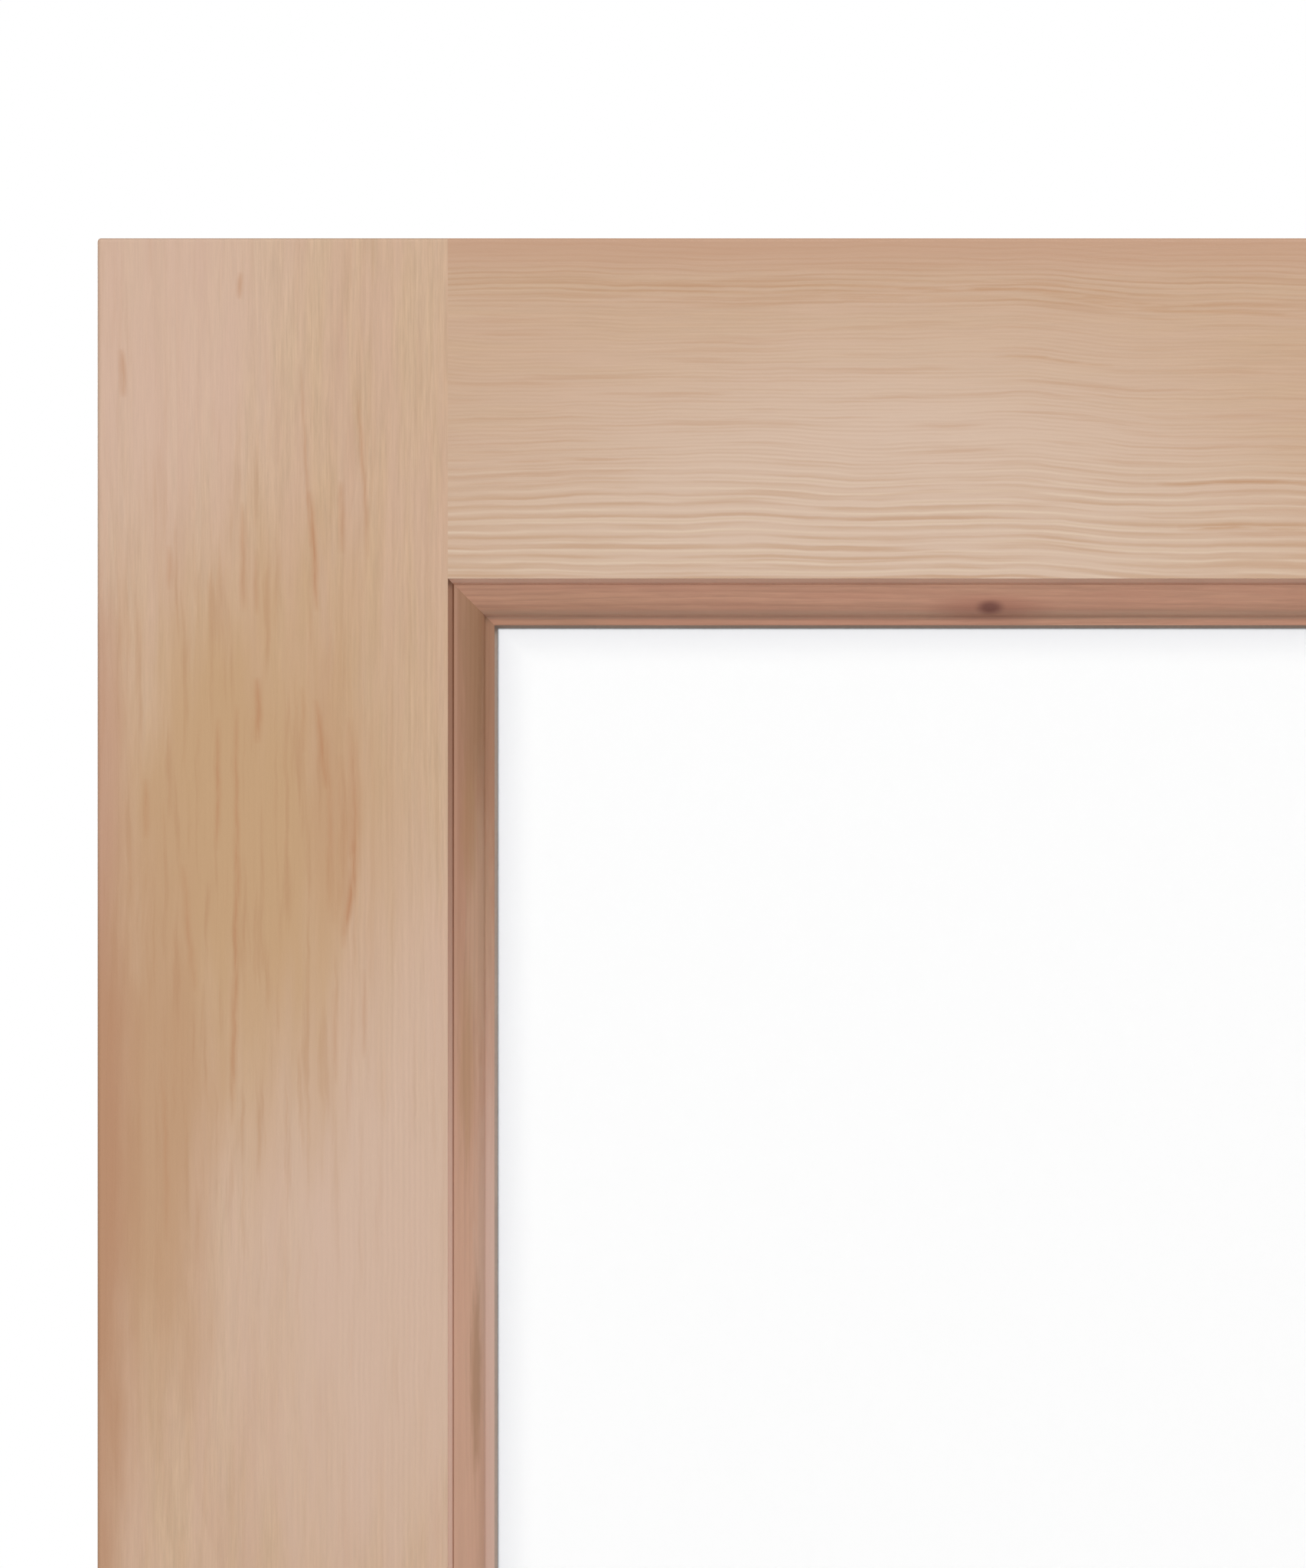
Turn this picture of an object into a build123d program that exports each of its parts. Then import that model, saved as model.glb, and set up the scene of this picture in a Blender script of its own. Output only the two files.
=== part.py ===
from build123d import *
from math import radians, tan
import os

os.makedirs("parts", exist_ok=True)

# Sizes of the leaf
leaf_width = 610.0
leaf_height = 2032.0
leaf_thickness = 44.4
stile_width = 114.3
top_rail_width = 111.0
bottom_rail_width = 235.0
arris_round = 1.2

# Gaps round the closed leaf
side_gap = 3.0
head_gap = 3.0
vent_gap = 10.0
stop_clearance = 1.5

# Sizes of the frame
jamb_thickness = 25.0
frame_depth = 116.0
threshold_height = 22.0
threshold_bevel = 5.0
threshold_bevel_drop = 2.5
head_housing = 10.0
stop_projection = 11.0
stop_depth = 32.0
stop_round = 3.0

# Dowels between rails and stiles
dowel_radius = 6.35
dowel_length = 100.0
dowel_margin = 30.0
dowel_end_gap = 1.0
dowel_chamfer = 1.0
glue_fit = 0.05

# Glazing beads, measured in from the edge of the opening and down from the face of the leaf
bead_width = 15.0
bead_depth = 13.0
bead_recess = 2.2
quirk_width = 2.0
quirk_depth = 1.2
quirk_slope = 0.6
ovolo_reach = 10.0
ovolo_drop = 7.4

# Insulated glass unit
pane_thickness = 4.0
pane_edge_gap = 3.0
tape_thickness = 1.2
tape_inset = 4.0
tape_show = 0.9
edge_seal_width = 3.5
spacer_width = 7.0
setting_block_length = 60.0

# Butt hinges
hinge_height = 102.0
hinge_head_distance = 178.0
hinge_foot_distance = 280.0
plate_depth = 38.0
plate_thickness = 2.5
plate_corner_radius = 6.35
pin_standoff = 7.0
knuckle_radius = 6.25
knuckle_count = 5
knuckle_gap = 0.3
pin_radius = 3.2
pin_fit = 0.06
pin_chamfer = 0.8
pin_head_radius = 5.2
pin_head_height = 3.0
outer_screw_spacing = 76.0
inner_screw_spacing = 27.0
outer_screw_inset = 27.0
inner_screw_inset = 13.0

# Countersunk wood screws
countersink_angle = 82.0
countersink_fit = 0.1
recess_depth_share = 0.6
recess_width_share = 0.25
pilot_fit = 0.04
screw_end_gap = 0.8
hinge_screw_head = 4.3
hinge_screw_shank = 2.1
hinge_screw_length = 22.0
small_screw_head = 3.3
small_screw_shank = 1.6
small_screw_length = 18.0
frame_screw_head = 4.6
frame_screw_shank = 2.4
frame_screw_length = 55.0
frame_screw_spread = 36.0

# Pull handle
handle_height = 1000.0
grip_length = 300.0
grip_width = 30.0
grip_depth = 22.0
grip_front_round = 9.0
grip_back_round = 4.0
post_radius = 10.0
post_length = 32.0
post_spacing = 200.0
bolt_radius = 3.0
bolt_hole_fit = 0.2
bolt_head_radius = 5.4
bolt_head_height = 4.0
bolt_socket_depth = 2.6
plug_radius = 6.0
plug_pocket_depth = 10.0
insert_radius = 5.0
insert_length = 14.0
insert_bolt_reach = 12.0

# Roller catch
catch_height = 965.0
faceplate_width = 24.0
faceplate_height = 64.0
faceplate_thickness = 2.0
faceplate_corner_radius = 4.0
catch_screw_spacing = 50.0
case_width = 18.0
case_height = 34.0
case_depth = 32.0
case_wall = 1.5
plunger_fit = 0.3
plunger_seat = 0.1
plunger_web = 4.0
nose_width = 11.0
arm_thickness = 4.0
roller_radius = 6.5
roller_length = 14.0
roller_projection = 5.0
roller_fit = 0.3
roller_chamfer = 0.8
axle_radius = 1.5
axle_fit = 0.06
arm_projection = 1.0
spring_radius = 3.6
spring_wire_radius = 0.5
spring_turns = 6
spring_guide_radius = 2.5
plunger_travel = 6.0

# Strike plate
strike_width = 28.0
strike_height = 64.0
strike_thickness = 2.0
strike_lip_height = 26.0
strike_lip_radius = 6.0
strike_lip_turn = 50.0
strike_window_width = 12.0
strike_window_height = 19.0
strike_pocket_depth = 10.0

# Places in the wall: X runs across the opening, -Y is the side that the leaf opens to
clear_width = leaf_width + 2 * side_gap
jamb_face = clear_width / 2
jamb_back = jamb_face + jamb_thickness
front = -frame_depth / 2
leaf_foot = threshold_height + vent_gap
head_underside = leaf_foot + leaf_height + head_gap
frame_height = head_underside + jamb_thickness
pin_x = leaf_width / 2 + side_gap / 2
pin_y = front - pin_standoff

# The leaf stands open at a right angle, its pull face towards +X and its latch edge towards -Y
latch_edge_y = pin_y - side_gap / 2 - leaf_width
leaf_face = Plane(
    origin=(pin_x - pin_standoff, latch_edge_y, leaf_foot),
    x_dir=(0, 1, 0),
    z_dir=(1, 0, 0),
)
leaf_middle = leaf_face.offset(-leaf_thickness / 2)


def on_leaf(along, up, depth):
    """A plane parallel to the pull face: along from the latch edge, up from the foot, in from the face."""
    return Plane(
        origin=leaf_face.from_local_coords((along, up, -depth)),
        x_dir=leaf_face.x_dir,
        z_dir=leaf_face.z_dir,
    )


# Countersunk screws
countersink_slope = tan(radians(countersink_angle / 2))


def wood_screw(head_radius, shank_radius, length):
    """A countersunk screw with a crossed recess, its flat head at the origin and its point down."""
    cone_depth = (head_radius - shank_radius) / countersink_slope
    recess_depth = cone_depth * recess_depth_share
    recess_width = head_radius * recess_width_share
    point_length = 2 * shank_radius
    with BuildPart() as screw:
        with BuildSketch(Plane.XZ):
            with BuildLine():
                Polyline(
                    (0, 0),
                    (head_radius, 0),
                    (shank_radius, -cone_depth),
                    (shank_radius, -length + point_length),
                    (0, -length),
                    close=True,
                )
            make_face()
        revolve(axis=Axis.Z)
        with BuildSketch():
            Rectangle(head_radius, recess_width)
            Rectangle(recess_width, head_radius)
        extrude(amount=-recess_depth, mode=Mode.SUBTRACT)
    return screw


hinge_screw = wood_screw(hinge_screw_head, hinge_screw_shank, hinge_screw_length)
small_screw = wood_screw(small_screw_head, small_screw_shank, small_screw_length)
frame_screw = wood_screw(frame_screw_head, frame_screw_shank, frame_screw_length)

# Hinges: each plate is drawn across the pin axis, from one end of the barrel
hinge_levels = {
    "top": leaf_foot + leaf_height - hinge_head_distance - hinge_height / 2,
    "bottom": leaf_foot + hinge_foot_distance + hinge_height / 2,
}
hinge_levels["middle"] = (hinge_levels["top"] + hinge_levels["bottom"]) / 2
knuckle_pitch = hinge_height / knuckle_count
bore_radius = pin_radius + pin_fit


def jamb_hinge_end(level):
    """The top end of a barrel: x runs in along the jamb's plate, and y towards the jamb."""
    return Plane(
        origin=(pin_x, pin_y, level + hinge_height / 2), x_dir=(0, 1, 0), z_dir=(0, 0, -1)
    )


def leaf_hinge_end(level):
    """The bottom end of a barrel: x runs in along the leaf's plate, and y towards the leaf."""
    return Plane(
        origin=(pin_x, pin_y, level - hinge_height / 2), x_dir=(-1, 0, 0), z_dir=(0, 0, 1)
    )


def hinge_screw_spots(end):
    """Four places on the face of a plate, two near its outer edge and two nearer the pin."""
    plate_face = Plane(
        origin=end.from_local_coords((pin_standoff, side_gap / 2, hinge_height / 2)),
        x_dir=end.x_dir,
        z_dir=end.y_dir * -1,
    )
    outer = [
        plate_face.location * Pos(outer_screw_inset, side * outer_screw_spacing / 2)
        for side in (-1, 1)
    ]
    inner = [
        plate_face.location * Pos(inner_screw_inset, side * inner_screw_spacing / 2)
        for side in (-1, 1)
    ]
    return outer + inner


def round_plate_corners(piece, end):
    """Rounds the two corners of a plate, or of its pocket, that lie furthest from the pin."""
    through_plate = piece.edges().filter_by(Axis(end.origin, end.y_dir))
    fillet(through_plate.sort_by(Axis(end.origin, end.x_dir))[-2:], plate_corner_radius)


def hinge_plate(end, own_knuckles):
    """A plate with its own knuckles of the barrel, cut back where the other plate's knuckles turn."""
    with BuildPart() as plate:
        with BuildSketch(end):
            with Locations((0, side_gap / 2)):
                Rectangle(
                    pin_standoff + plate_depth, plate_thickness, align=(Align.MIN, Align.MIN)
                )
            Circle(knuckle_radius)
        extrude(amount=hinge_height)
        round_plate_corners(plate, end)
        for knuckle in range(knuckle_count):
            if knuckle not in own_knuckles:
                with BuildSketch(end.offset(knuckle * knuckle_pitch - knuckle_gap / 2)):
                    with Locations((pin_standoff, 0)):
                        Rectangle(
                            pin_standoff + knuckle_radius,
                            2 * knuckle_radius,
                            align=(Align.MAX, Align.CENTER),
                        )
                extrude(amount=knuckle_pitch + knuckle_gap, mode=Mode.SUBTRACT)
        with BuildSketch(end):
            Circle(bore_radius)
        extrude(amount=hinge_height, mode=Mode.SUBTRACT)
        with Locations(*hinge_screw_spots(end)):
            CounterSinkHole(
                hinge_screw_shank + pilot_fit,
                hinge_screw_head + countersink_fit,
                plate_thickness,
                countersink_angle,
            )
    return plate


def hinge_pocket(end):
    """The mortise for a plate, with the pilot holes of its four screws."""
    with BuildPart() as pocket:
        with BuildSketch(end):
            with Locations((pin_standoff, side_gap / 2)):
                Rectangle(plate_depth, plate_thickness, align=(Align.MIN, Align.MIN))
        extrude(amount=hinge_height)
        round_plate_corners(pocket, end)
        with Locations(*hinge_screw_spots(end)):
            Cylinder(
                hinge_screw_shank + pilot_fit,
                hinge_screw_length + screw_end_gap,
                align=(Align.CENTER, Align.CENTER, Align.MAX),
            )
    return pocket


def hinge_pin(level):
    """A loose pin whose rounded head rests on the top knuckle."""
    with BuildPart() as pin:
        with Locations((pin_x, pin_y, level)):
            Cylinder(pin_radius, hinge_height)
        with Locations((pin_x, pin_y, level + hinge_height / 2)):
            Cylinder(
                pin_head_radius,
                pin_head_height,
                align=(Align.CENTER, Align.CENTER, Align.MIN),
            )
        head_rim = pin.edges().filter_by(GeomType.CIRCLE).sort_by(Axis.Z)[-1]
        fillet(head_rim, pin_head_height / 2)
        chamfer(pin.edges().filter_by(GeomType.CIRCLE).sort_by(Axis.Z)[0], pin_chamfer)
    return pin


jamb_knuckles = range(0, knuckle_count, 2)
leaf_knuckles = range(1, knuckle_count, 2)
jamb_screw_spots = []
leaf_screw_spots = []
for place, level in hinge_levels.items():
    hinge_pieces = {
        f"{place}_hinge_jamb_plate": hinge_plate(jamb_hinge_end(level), jamb_knuckles),
        f"{place}_hinge_leaf_plate": hinge_plate(leaf_hinge_end(level), leaf_knuckles),
        f"{place}_hinge_pin": hinge_pin(level),
    }
    for name, piece in hinge_pieces.items():
        piece.part.label = name
        export_step(piece.part, f"parts/{name}.step")
    jamb_screw_spots += hinge_screw_spots(jamb_hinge_end(level))
    leaf_screw_spots += hinge_screw_spots(leaf_hinge_end(level))

with BuildPart() as hinge_jamb_screws:
    with Locations(*jamb_screw_spots):
        add(hinge_screw.part)
hinge_jamb_screws.part.label = "hinge_jamb_screws"
export_step(hinge_jamb_screws.part, "parts/hinge_jamb_screws.step")

with BuildPart() as hinge_leaf_screws:
    with Locations(*leaf_screw_spots):
        add(hinge_screw.part)
hinge_leaf_screws.part.label = "hinge_leaf_screws"
export_step(hinge_leaf_screws.part, "parts/hinge_leaf_screws.step")

# Roller catch: drawn from the latch edge, z out of the edge and y up
catch_level = catch_height - leaf_foot
catch_face = Plane(
    origin=leaf_face.from_local_coords((0, catch_level, -leaf_thickness / 2)),
    x_dir=leaf_face.z_dir,
    z_dir=leaf_face.x_dir * -1,
)
cavity_width = case_width - 2 * case_wall
cavity_height = case_height - 2 * case_wall
slot_height = roller_length + 2 * roller_fit
nose_height = slot_height + 2 * arm_thickness
axle_depth = roller_radius - roller_projection
slot_floor = axle_depth + roller_radius + roller_fit
flange_front = faceplate_thickness + plunger_seat
flange_back = slot_floor + plunger_web
case_floor = faceplate_thickness + case_depth - case_wall
spring_length = case_floor - flange_back
spring_guide_length = (spring_length - plunger_travel) / 2
catch_screw_spots = [
    catch_face.location * Pos(0, side * catch_screw_spacing / 2) for side in (-1, 1)
]

with BuildPart() as catch_faceplate:
    with BuildSketch(catch_face):
        RectangleRounded(faceplate_width, faceplate_height, faceplate_corner_radius)
        Rectangle(
            2 * (roller_radius + roller_fit),
            nose_height + 2 * plunger_fit,
            mode=Mode.SUBTRACT,
        )
    extrude(amount=-faceplate_thickness)
    with Locations(*catch_screw_spots):
        CounterSinkHole(
            small_screw_shank + pilot_fit,
            small_screw_head + countersink_fit,
            faceplate_thickness,
            countersink_angle,
        )
catch_faceplate.part.label = "catch_faceplate"
export_step(catch_faceplate.part, "parts/catch_faceplate.step")

with BuildPart() as catch_screws:
    with Locations(*catch_screw_spots):
        add(small_screw.part)
catch_screws.part.label = "catch_screws"
export_step(catch_screws.part, "parts/catch_screws.step")

with BuildPart() as catch_case:
    with BuildSketch(catch_face.offset(-faceplate_thickness)):
        Rectangle(case_width, case_height)
    extrude(amount=-case_depth)
    with BuildSketch(catch_face.offset(-faceplate_thickness)):
        Rectangle(cavity_width, cavity_height)
    extrude(amount=faceplate_thickness - case_floor, mode=Mode.SUBTRACT)
catch_case.part.label = "catch_case"
export_step(catch_case.part, "parts/catch_case.step")

with BuildPart() as plunger:
    with BuildSketch(catch_face.offset(arm_projection)):
        Rectangle(nose_width, nose_height)
    extrude(amount=-arm_projection - flange_back)
    with BuildSketch(catch_face.offset(-flange_front)):
        Rectangle(cavity_width - 2 * plunger_fit, cavity_height - 2 * plunger_fit)
    extrude(amount=flange_front - flange_back)
    with BuildSketch(catch_face.offset(arm_projection)):
        Rectangle(cavity_width, slot_height)
    extrude(amount=-arm_projection - slot_floor, mode=Mode.SUBTRACT)
    with BuildSketch(catch_face.offset(-flange_back)):
        Circle(spring_guide_radius)
    extrude(amount=-spring_guide_length)
    axle_line = Plane(
        origin=catch_face.from_local_coords((0, 0, -axle_depth)), z_dir=catch_face.y_dir
    )
    with Locations(axle_line.location):
        Cylinder(axle_radius + axle_fit, 2 * nose_height, mode=Mode.SUBTRACT)
plunger.part.label = "plunger"
export_step(plunger.part, "parts/plunger.step")

with BuildPart() as roller_axle:
    with Locations(axle_line.location):
        Cylinder(axle_radius, nose_height)
roller_axle.part.label = "roller_axle"
export_step(roller_axle.part, "parts/roller_axle.step")

with BuildPart() as roller:
    with Locations(axle_line.location):
        Cylinder(roller_radius, roller_length)
        chamfer(roller.edges().filter_by(GeomType.CIRCLE), roller_chamfer)
        Cylinder(axle_radius + axle_fit, 2 * roller_length, mode=Mode.SUBTRACT)
roller.part.label = "roller"
export_step(roller.part, "parts/roller.step")

spring_rise = spring_length - 2 * spring_wire_radius
with BuildPart() as coil:
    with BuildLine() as coil_line:
        Helix(spring_rise / spring_turns, spring_rise, spring_radius)
    with BuildSketch(coil_line.line ^ 0):
        Circle(spring_wire_radius)
    sweep(path=coil_line.line, is_frenet=True)

with BuildPart() as catch_spring:
    with Locations(catch_face.offset(spring_wire_radius - case_floor).location):
        add(coil.part)
catch_spring.part.label = "catch_spring"
export_step(catch_spring.part, "parts/catch_spring.step")

# Stiles run the full height of the leaf, and the rails are dowelled between them
rail_length = leaf_width - 2 * stile_width
opening_head = leaf_height - top_rail_width
dowel_levels = [
    dowel_margin,
    bottom_rail_width / 2,
    bottom_rail_width - dowel_margin,
    opening_head + dowel_margin,
    leaf_height - dowel_margin,
]


def dowel_spots(joint):
    """Places of the dowels across one joint line, with z along each dowel."""
    return [
        Plane(
            origin=leaf_face.from_local_coords((joint, level, -leaf_thickness / 2)),
            z_dir=leaf_face.x_dir,
        ).location
        for level in dowel_levels
    ]


latch_joint_spots = dowel_spots(stile_width)
hinge_joint_spots = dowel_spots(leaf_width - stile_width)
socket_radius = dowel_radius + glue_fit
socket_length = dowel_length + 2 * dowel_end_gap

with BuildPart() as dowel:
    Cylinder(dowel_radius, dowel_length)
    chamfer(dowel.edges().filter_by(GeomType.CIRCLE), dowel_chamfer)

with BuildPart() as rail_dowels:
    with Locations(*latch_joint_spots, *hinge_joint_spots):
        add(dowel.part)
rail_dowels.part.label = "rail_dowels"
export_step(rail_dowels.part, "parts/rail_dowels.step")

handle_level = handle_height - leaf_foot
handle_along = stile_width / 2
post_levels = {
    "upper": handle_level + post_spacing / 2,
    "lower": handle_level - post_spacing / 2,
}
bolt_hole_radius = bolt_radius + bolt_hole_fit

with BuildPart() as latch_stile:
    with BuildSketch(leaf_face):
        Rectangle(stile_width, leaf_height, align=(Align.MIN, Align.MIN))
    extrude(amount=-leaf_thickness)
    stile_edges = latch_stile.edges().group_by(Axis.Y)
    fillet(stile_edges[0] + stile_edges[1], arris_round)
    with Locations(*latch_joint_spots):
        Cylinder(socket_radius, socket_length, mode=Mode.SUBTRACT)
    with BuildSketch(catch_face):
        RectangleRounded(faceplate_width, faceplate_height, faceplate_corner_radius)
    extrude(amount=-faceplate_thickness, mode=Mode.SUBTRACT)
    with BuildSketch(catch_face):
        Rectangle(case_width + 2 * glue_fit, case_height + 2 * glue_fit)
    extrude(amount=-faceplate_thickness - case_depth - glue_fit, mode=Mode.SUBTRACT)
    with Locations(*catch_screw_spots):
        Hole(small_screw_shank + pilot_fit, small_screw_length + screw_end_gap)
    for level in post_levels.values():
        with Locations(on_leaf(handle_along, level, 0).location):
            Hole(bolt_hole_radius, leaf_thickness)
latch_stile.part.label = "latch_stile"
export_step(latch_stile.part, "parts/latch_stile.step")

with BuildPart() as hinge_stile:
    with BuildSketch(on_leaf(leaf_width, 0, 0)):
        Rectangle(stile_width, leaf_height, align=(Align.MAX, Align.MIN))
    extrude(amount=-leaf_thickness)
    stile_edges = hinge_stile.edges().group_by(Axis.Y)
    fillet(stile_edges[-1] + stile_edges[-2], arris_round)
    with Locations(*hinge_joint_spots):
        Cylinder(socket_radius, socket_length, mode=Mode.SUBTRACT)
    for level in hinge_levels.values():
        add(hinge_pocket(leaf_hinge_end(level)).part, mode=Mode.SUBTRACT)
hinge_stile.part.label = "hinge_stile"
export_step(hinge_stile.part, "parts/hinge_stile.step")

with BuildPart() as top_rail:
    with BuildSketch(on_leaf(stile_width, opening_head, 0)):
        Rectangle(rail_length, top_rail_width, align=(Align.MIN, Align.MIN))
    extrude(amount=-leaf_thickness)
    fillet(top_rail.edges().filter_by(Axis.Y).group_by(Axis.Z)[-1], arris_round)
    with Locations(*latch_joint_spots, *hinge_joint_spots):
        Cylinder(socket_radius, socket_length, mode=Mode.SUBTRACT)
top_rail.part.label = "top_rail"
export_step(top_rail.part, "parts/top_rail.step")

with BuildPart() as bottom_rail:
    with BuildSketch(on_leaf(stile_width, 0, 0)):
        Rectangle(rail_length, bottom_rail_width, align=(Align.MIN, Align.MIN))
    extrude(amount=-leaf_thickness)
    fillet(bottom_rail.edges().filter_by(Axis.Y).group_by(Axis.Z)[0], arris_round)
    with Locations(*latch_joint_spots, *hinge_joint_spots):
        Cylinder(socket_radius, socket_length, mode=Mode.SUBTRACT)
bottom_rail.part.label = "bottom_rail"
export_step(bottom_rail.part, "parts/bottom_rail.step")

# Glazing beads: a quirked ovolo, mitred round the opening on both faces of the leaf
opening_width = rail_length
opening_height = opening_head - bottom_rail_width
opening_far_side = leaf_width - stile_width
quirk_floor = bead_recess + quirk_depth
fillet_level = bead_recess + ovolo_drop


def glazing_bead(corner, run, length):
    """One bead along an edge of the opening, starting at a corner and mitred at both ends."""
    start = leaf_face.from_local_coords(corner)
    inward = leaf_face.z_dir.cross(run)
    finish = start + run * length
    with BuildPart() as bead:
        with BuildSketch(Plane(origin=start, x_dir=inward, z_dir=run)):
            with BuildLine():
                outer_side = Polyline(
                    (0, -bead_depth),
                    (0, -quirk_floor),
                    (quirk_width - quirk_slope, -quirk_floor),
                    (quirk_width, -bead_recess),
                )
                EllipticalCenterArc(
                    (quirk_width, -fillet_level), ovolo_reach, ovolo_drop, arc_size=90
                )
                Polyline(
                    (quirk_width + ovolo_reach, -fillet_level),
                    (bead_width, -fillet_level),
                    (bead_width, -bead_depth),
                    outer_side @ 0,
                )
            make_face()
        extrude(amount=length)
        split(bisect_by=Plane(origin=start, z_dir=run - inward), keep=Keep.TOP)
        split(bisect_by=Plane(origin=finish, z_dir=inward * -1 - run), keep=Keep.TOP)
    return bead


across = leaf_face.x_dir
upward = leaf_face.y_dir
outer_beads = {
    "bottom_bead": glazing_bead((stile_width, bottom_rail_width, 0), across, opening_width),
    "hinge_side_bead": glazing_bead(
        (opening_far_side, bottom_rail_width, 0), upward, opening_height
    ),
    "top_bead": glazing_bead((opening_far_side, opening_head, 0), across * -1, opening_width),
    "latch_side_bead": glazing_bead((stile_width, opening_head, 0), upward * -1, opening_height),
}
for name, bead in outer_beads.items():
    bead.part.label = f"outer_{name}"
    export_step(bead.part, f"parts/outer_{name}.step")
    with BuildPart() as inner_bead:
        mirror(bead.part, about=leaf_middle)
    inner_bead.part.label = f"inner_{name}"
    export_step(inner_bead.part, f"parts/inner_{name}.step")

# Insulated glass unit: two panes, spacer and edge seal, bedded on tape and standing on blocks
opening_centre_along = leaf_width / 2
opening_centre_up = bottom_rail_width + opening_height / 2
outer_pane_depth = bead_depth + tape_thickness
inner_pane_depth = leaf_thickness - outer_pane_depth
cavity_depth = outer_pane_depth + pane_thickness
cavity_gap = inner_pane_depth - pane_thickness - cavity_depth


def opening_plane(depth):
    """A plane parallel to the pull face, centred on the opening."""
    return on_leaf(opening_centre_along, opening_centre_up, depth)


def glazing_ring(depth, thickness, outer_inset, inner_inset):
    """A flat rectangular ring between two insets from the edge of the opening."""
    with BuildPart() as ring:
        with BuildSketch(opening_plane(depth)):
            Rectangle(opening_width - 2 * outer_inset, opening_height - 2 * outer_inset)
            Rectangle(
                opening_width - 2 * inner_inset,
                opening_height - 2 * inner_inset,
                mode=Mode.SUBTRACT,
            )
        extrude(amount=-thickness)
    return ring


with BuildPart() as outer_pane:
    with BuildSketch(opening_plane(outer_pane_depth)):
        Rectangle(opening_width - 2 * pane_edge_gap, opening_height - 2 * pane_edge_gap)
    extrude(amount=-pane_thickness)
outer_pane.part.label = "outer_pane"
export_step(outer_pane.part, "parts/outer_pane.step")

with BuildPart() as inner_pane:
    mirror(outer_pane.part, about=leaf_middle)
inner_pane.part.label = "inner_pane"
export_step(inner_pane.part, "parts/inner_pane.step")

spacer_inset = pane_edge_gap + edge_seal_width
outer_glazing_tape = glazing_ring(
    bead_depth, tape_thickness, tape_inset, bead_width + tape_show
)
outer_glazing_tape.part.label = "outer_glazing_tape"
export_step(outer_glazing_tape.part, "parts/outer_glazing_tape.step")

with BuildPart() as inner_glazing_tape:
    mirror(outer_glazing_tape.part, about=leaf_middle)
inner_glazing_tape.part.label = "inner_glazing_tape"
export_step(inner_glazing_tape.part, "parts/inner_glazing_tape.step")

edge_seal = glazing_ring(cavity_depth, cavity_gap, pane_edge_gap, spacer_inset)
edge_seal.part.label = "edge_seal"
export_step(edge_seal.part, "parts/edge_seal.step")

spacer_bar = glazing_ring(
    cavity_depth, cavity_gap, spacer_inset, spacer_inset + spacer_width
)
spacer_bar.part.label = "spacer_bar"
export_step(spacer_bar.part, "parts/spacer_bar.step")

with BuildPart() as setting_blocks:
    with BuildSketch(on_leaf(opening_centre_along, bottom_rail_width, outer_pane_depth)):
        with GridLocations(opening_width / 2, 0, 2, 1):
            Rectangle(
                setting_block_length, pane_edge_gap, align=(Align.CENTER, Align.MIN)
            )
    extrude(amount=outer_pane_depth - inner_pane_depth)
setting_blocks.part.label = "setting_blocks"
export_step(setting_blocks.part, "parts/setting_blocks.step")

# Pull handles: a wooden grip on two posts on each face, drawn together by two bolts
with BuildPart() as grip_blank:
    with BuildSketch(on_leaf(handle_along, handle_level, -post_length)):
        SlotOverall(grip_length, grip_width, rotation=90)
    extrude(amount=grip_depth)
    fillet(grip_blank.faces().sort_by(Axis.X)[-1].edges(), grip_front_round)
    fillet(grip_blank.faces().sort_by(Axis.X)[0].edges(), grip_back_round)

grip_front_spots = [
    on_leaf(handle_along, level, -post_length - grip_depth).location
    for level in post_levels.values()
]
inner_grip_back = leaf_thickness + post_length
insert_spots = [
    on_leaf(handle_along, level, inner_grip_back).location for level in post_levels.values()
]
bolt_seat = post_length + grip_depth - plug_pocket_depth
bolt_length = bolt_seat + inner_grip_back + insert_bolt_reach

with BuildPart() as outer_grip:
    add(grip_blank.part)
    with Locations(*grip_front_spots):
        CounterBoreHole(bolt_hole_radius, plug_radius, plug_pocket_depth, grip_depth)
outer_grip.part.label = "outer_grip"
export_step(outer_grip.part, "parts/outer_grip.step")

with BuildPart() as inner_grip:
    mirror(grip_blank.part, about=leaf_middle)
    with Locations(*insert_spots):
        Hole(insert_radius + glue_fit, insert_length)
inner_grip.part.label = "inner_grip"
export_step(inner_grip.part, "parts/inner_grip.step")

for place, level in post_levels.items():
    with BuildPart() as outer_post:
        with BuildSketch(on_leaf(handle_along, level, 0)):
            Circle(post_radius)
            Circle(bolt_hole_radius, mode=Mode.SUBTRACT)
        extrude(amount=post_length)
    outer_post.part.label = f"outer_{place}_post"
    export_step(outer_post.part, f"parts/outer_{place}_post.step")
    with BuildPart() as inner_post:
        mirror(outer_post.part, about=leaf_middle)
    inner_post.part.label = f"inner_{place}_post"
    export_step(inner_post.part, f"parts/inner_{place}_post.step")

with BuildPart() as handle_bolts:
    for spot in grip_front_spots:
        bolt_end = Plane(spot).offset(-plug_pocket_depth)
        with BuildSketch(bolt_end):
            Circle(bolt_head_radius)
            RegularPolygon(bolt_radius, 6, major_radius=False, mode=Mode.SUBTRACT)
        extrude(amount=bolt_head_height)
        with BuildSketch(bolt_end):
            Circle(bolt_head_radius)
        extrude(amount=bolt_head_height - bolt_socket_depth)
        with BuildSketch(bolt_end):
            Circle(bolt_radius)
        extrude(amount=-bolt_length)
handle_bolts.part.label = "handle_bolts"
export_step(handle_bolts.part, "parts/handle_bolts.step")

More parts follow.
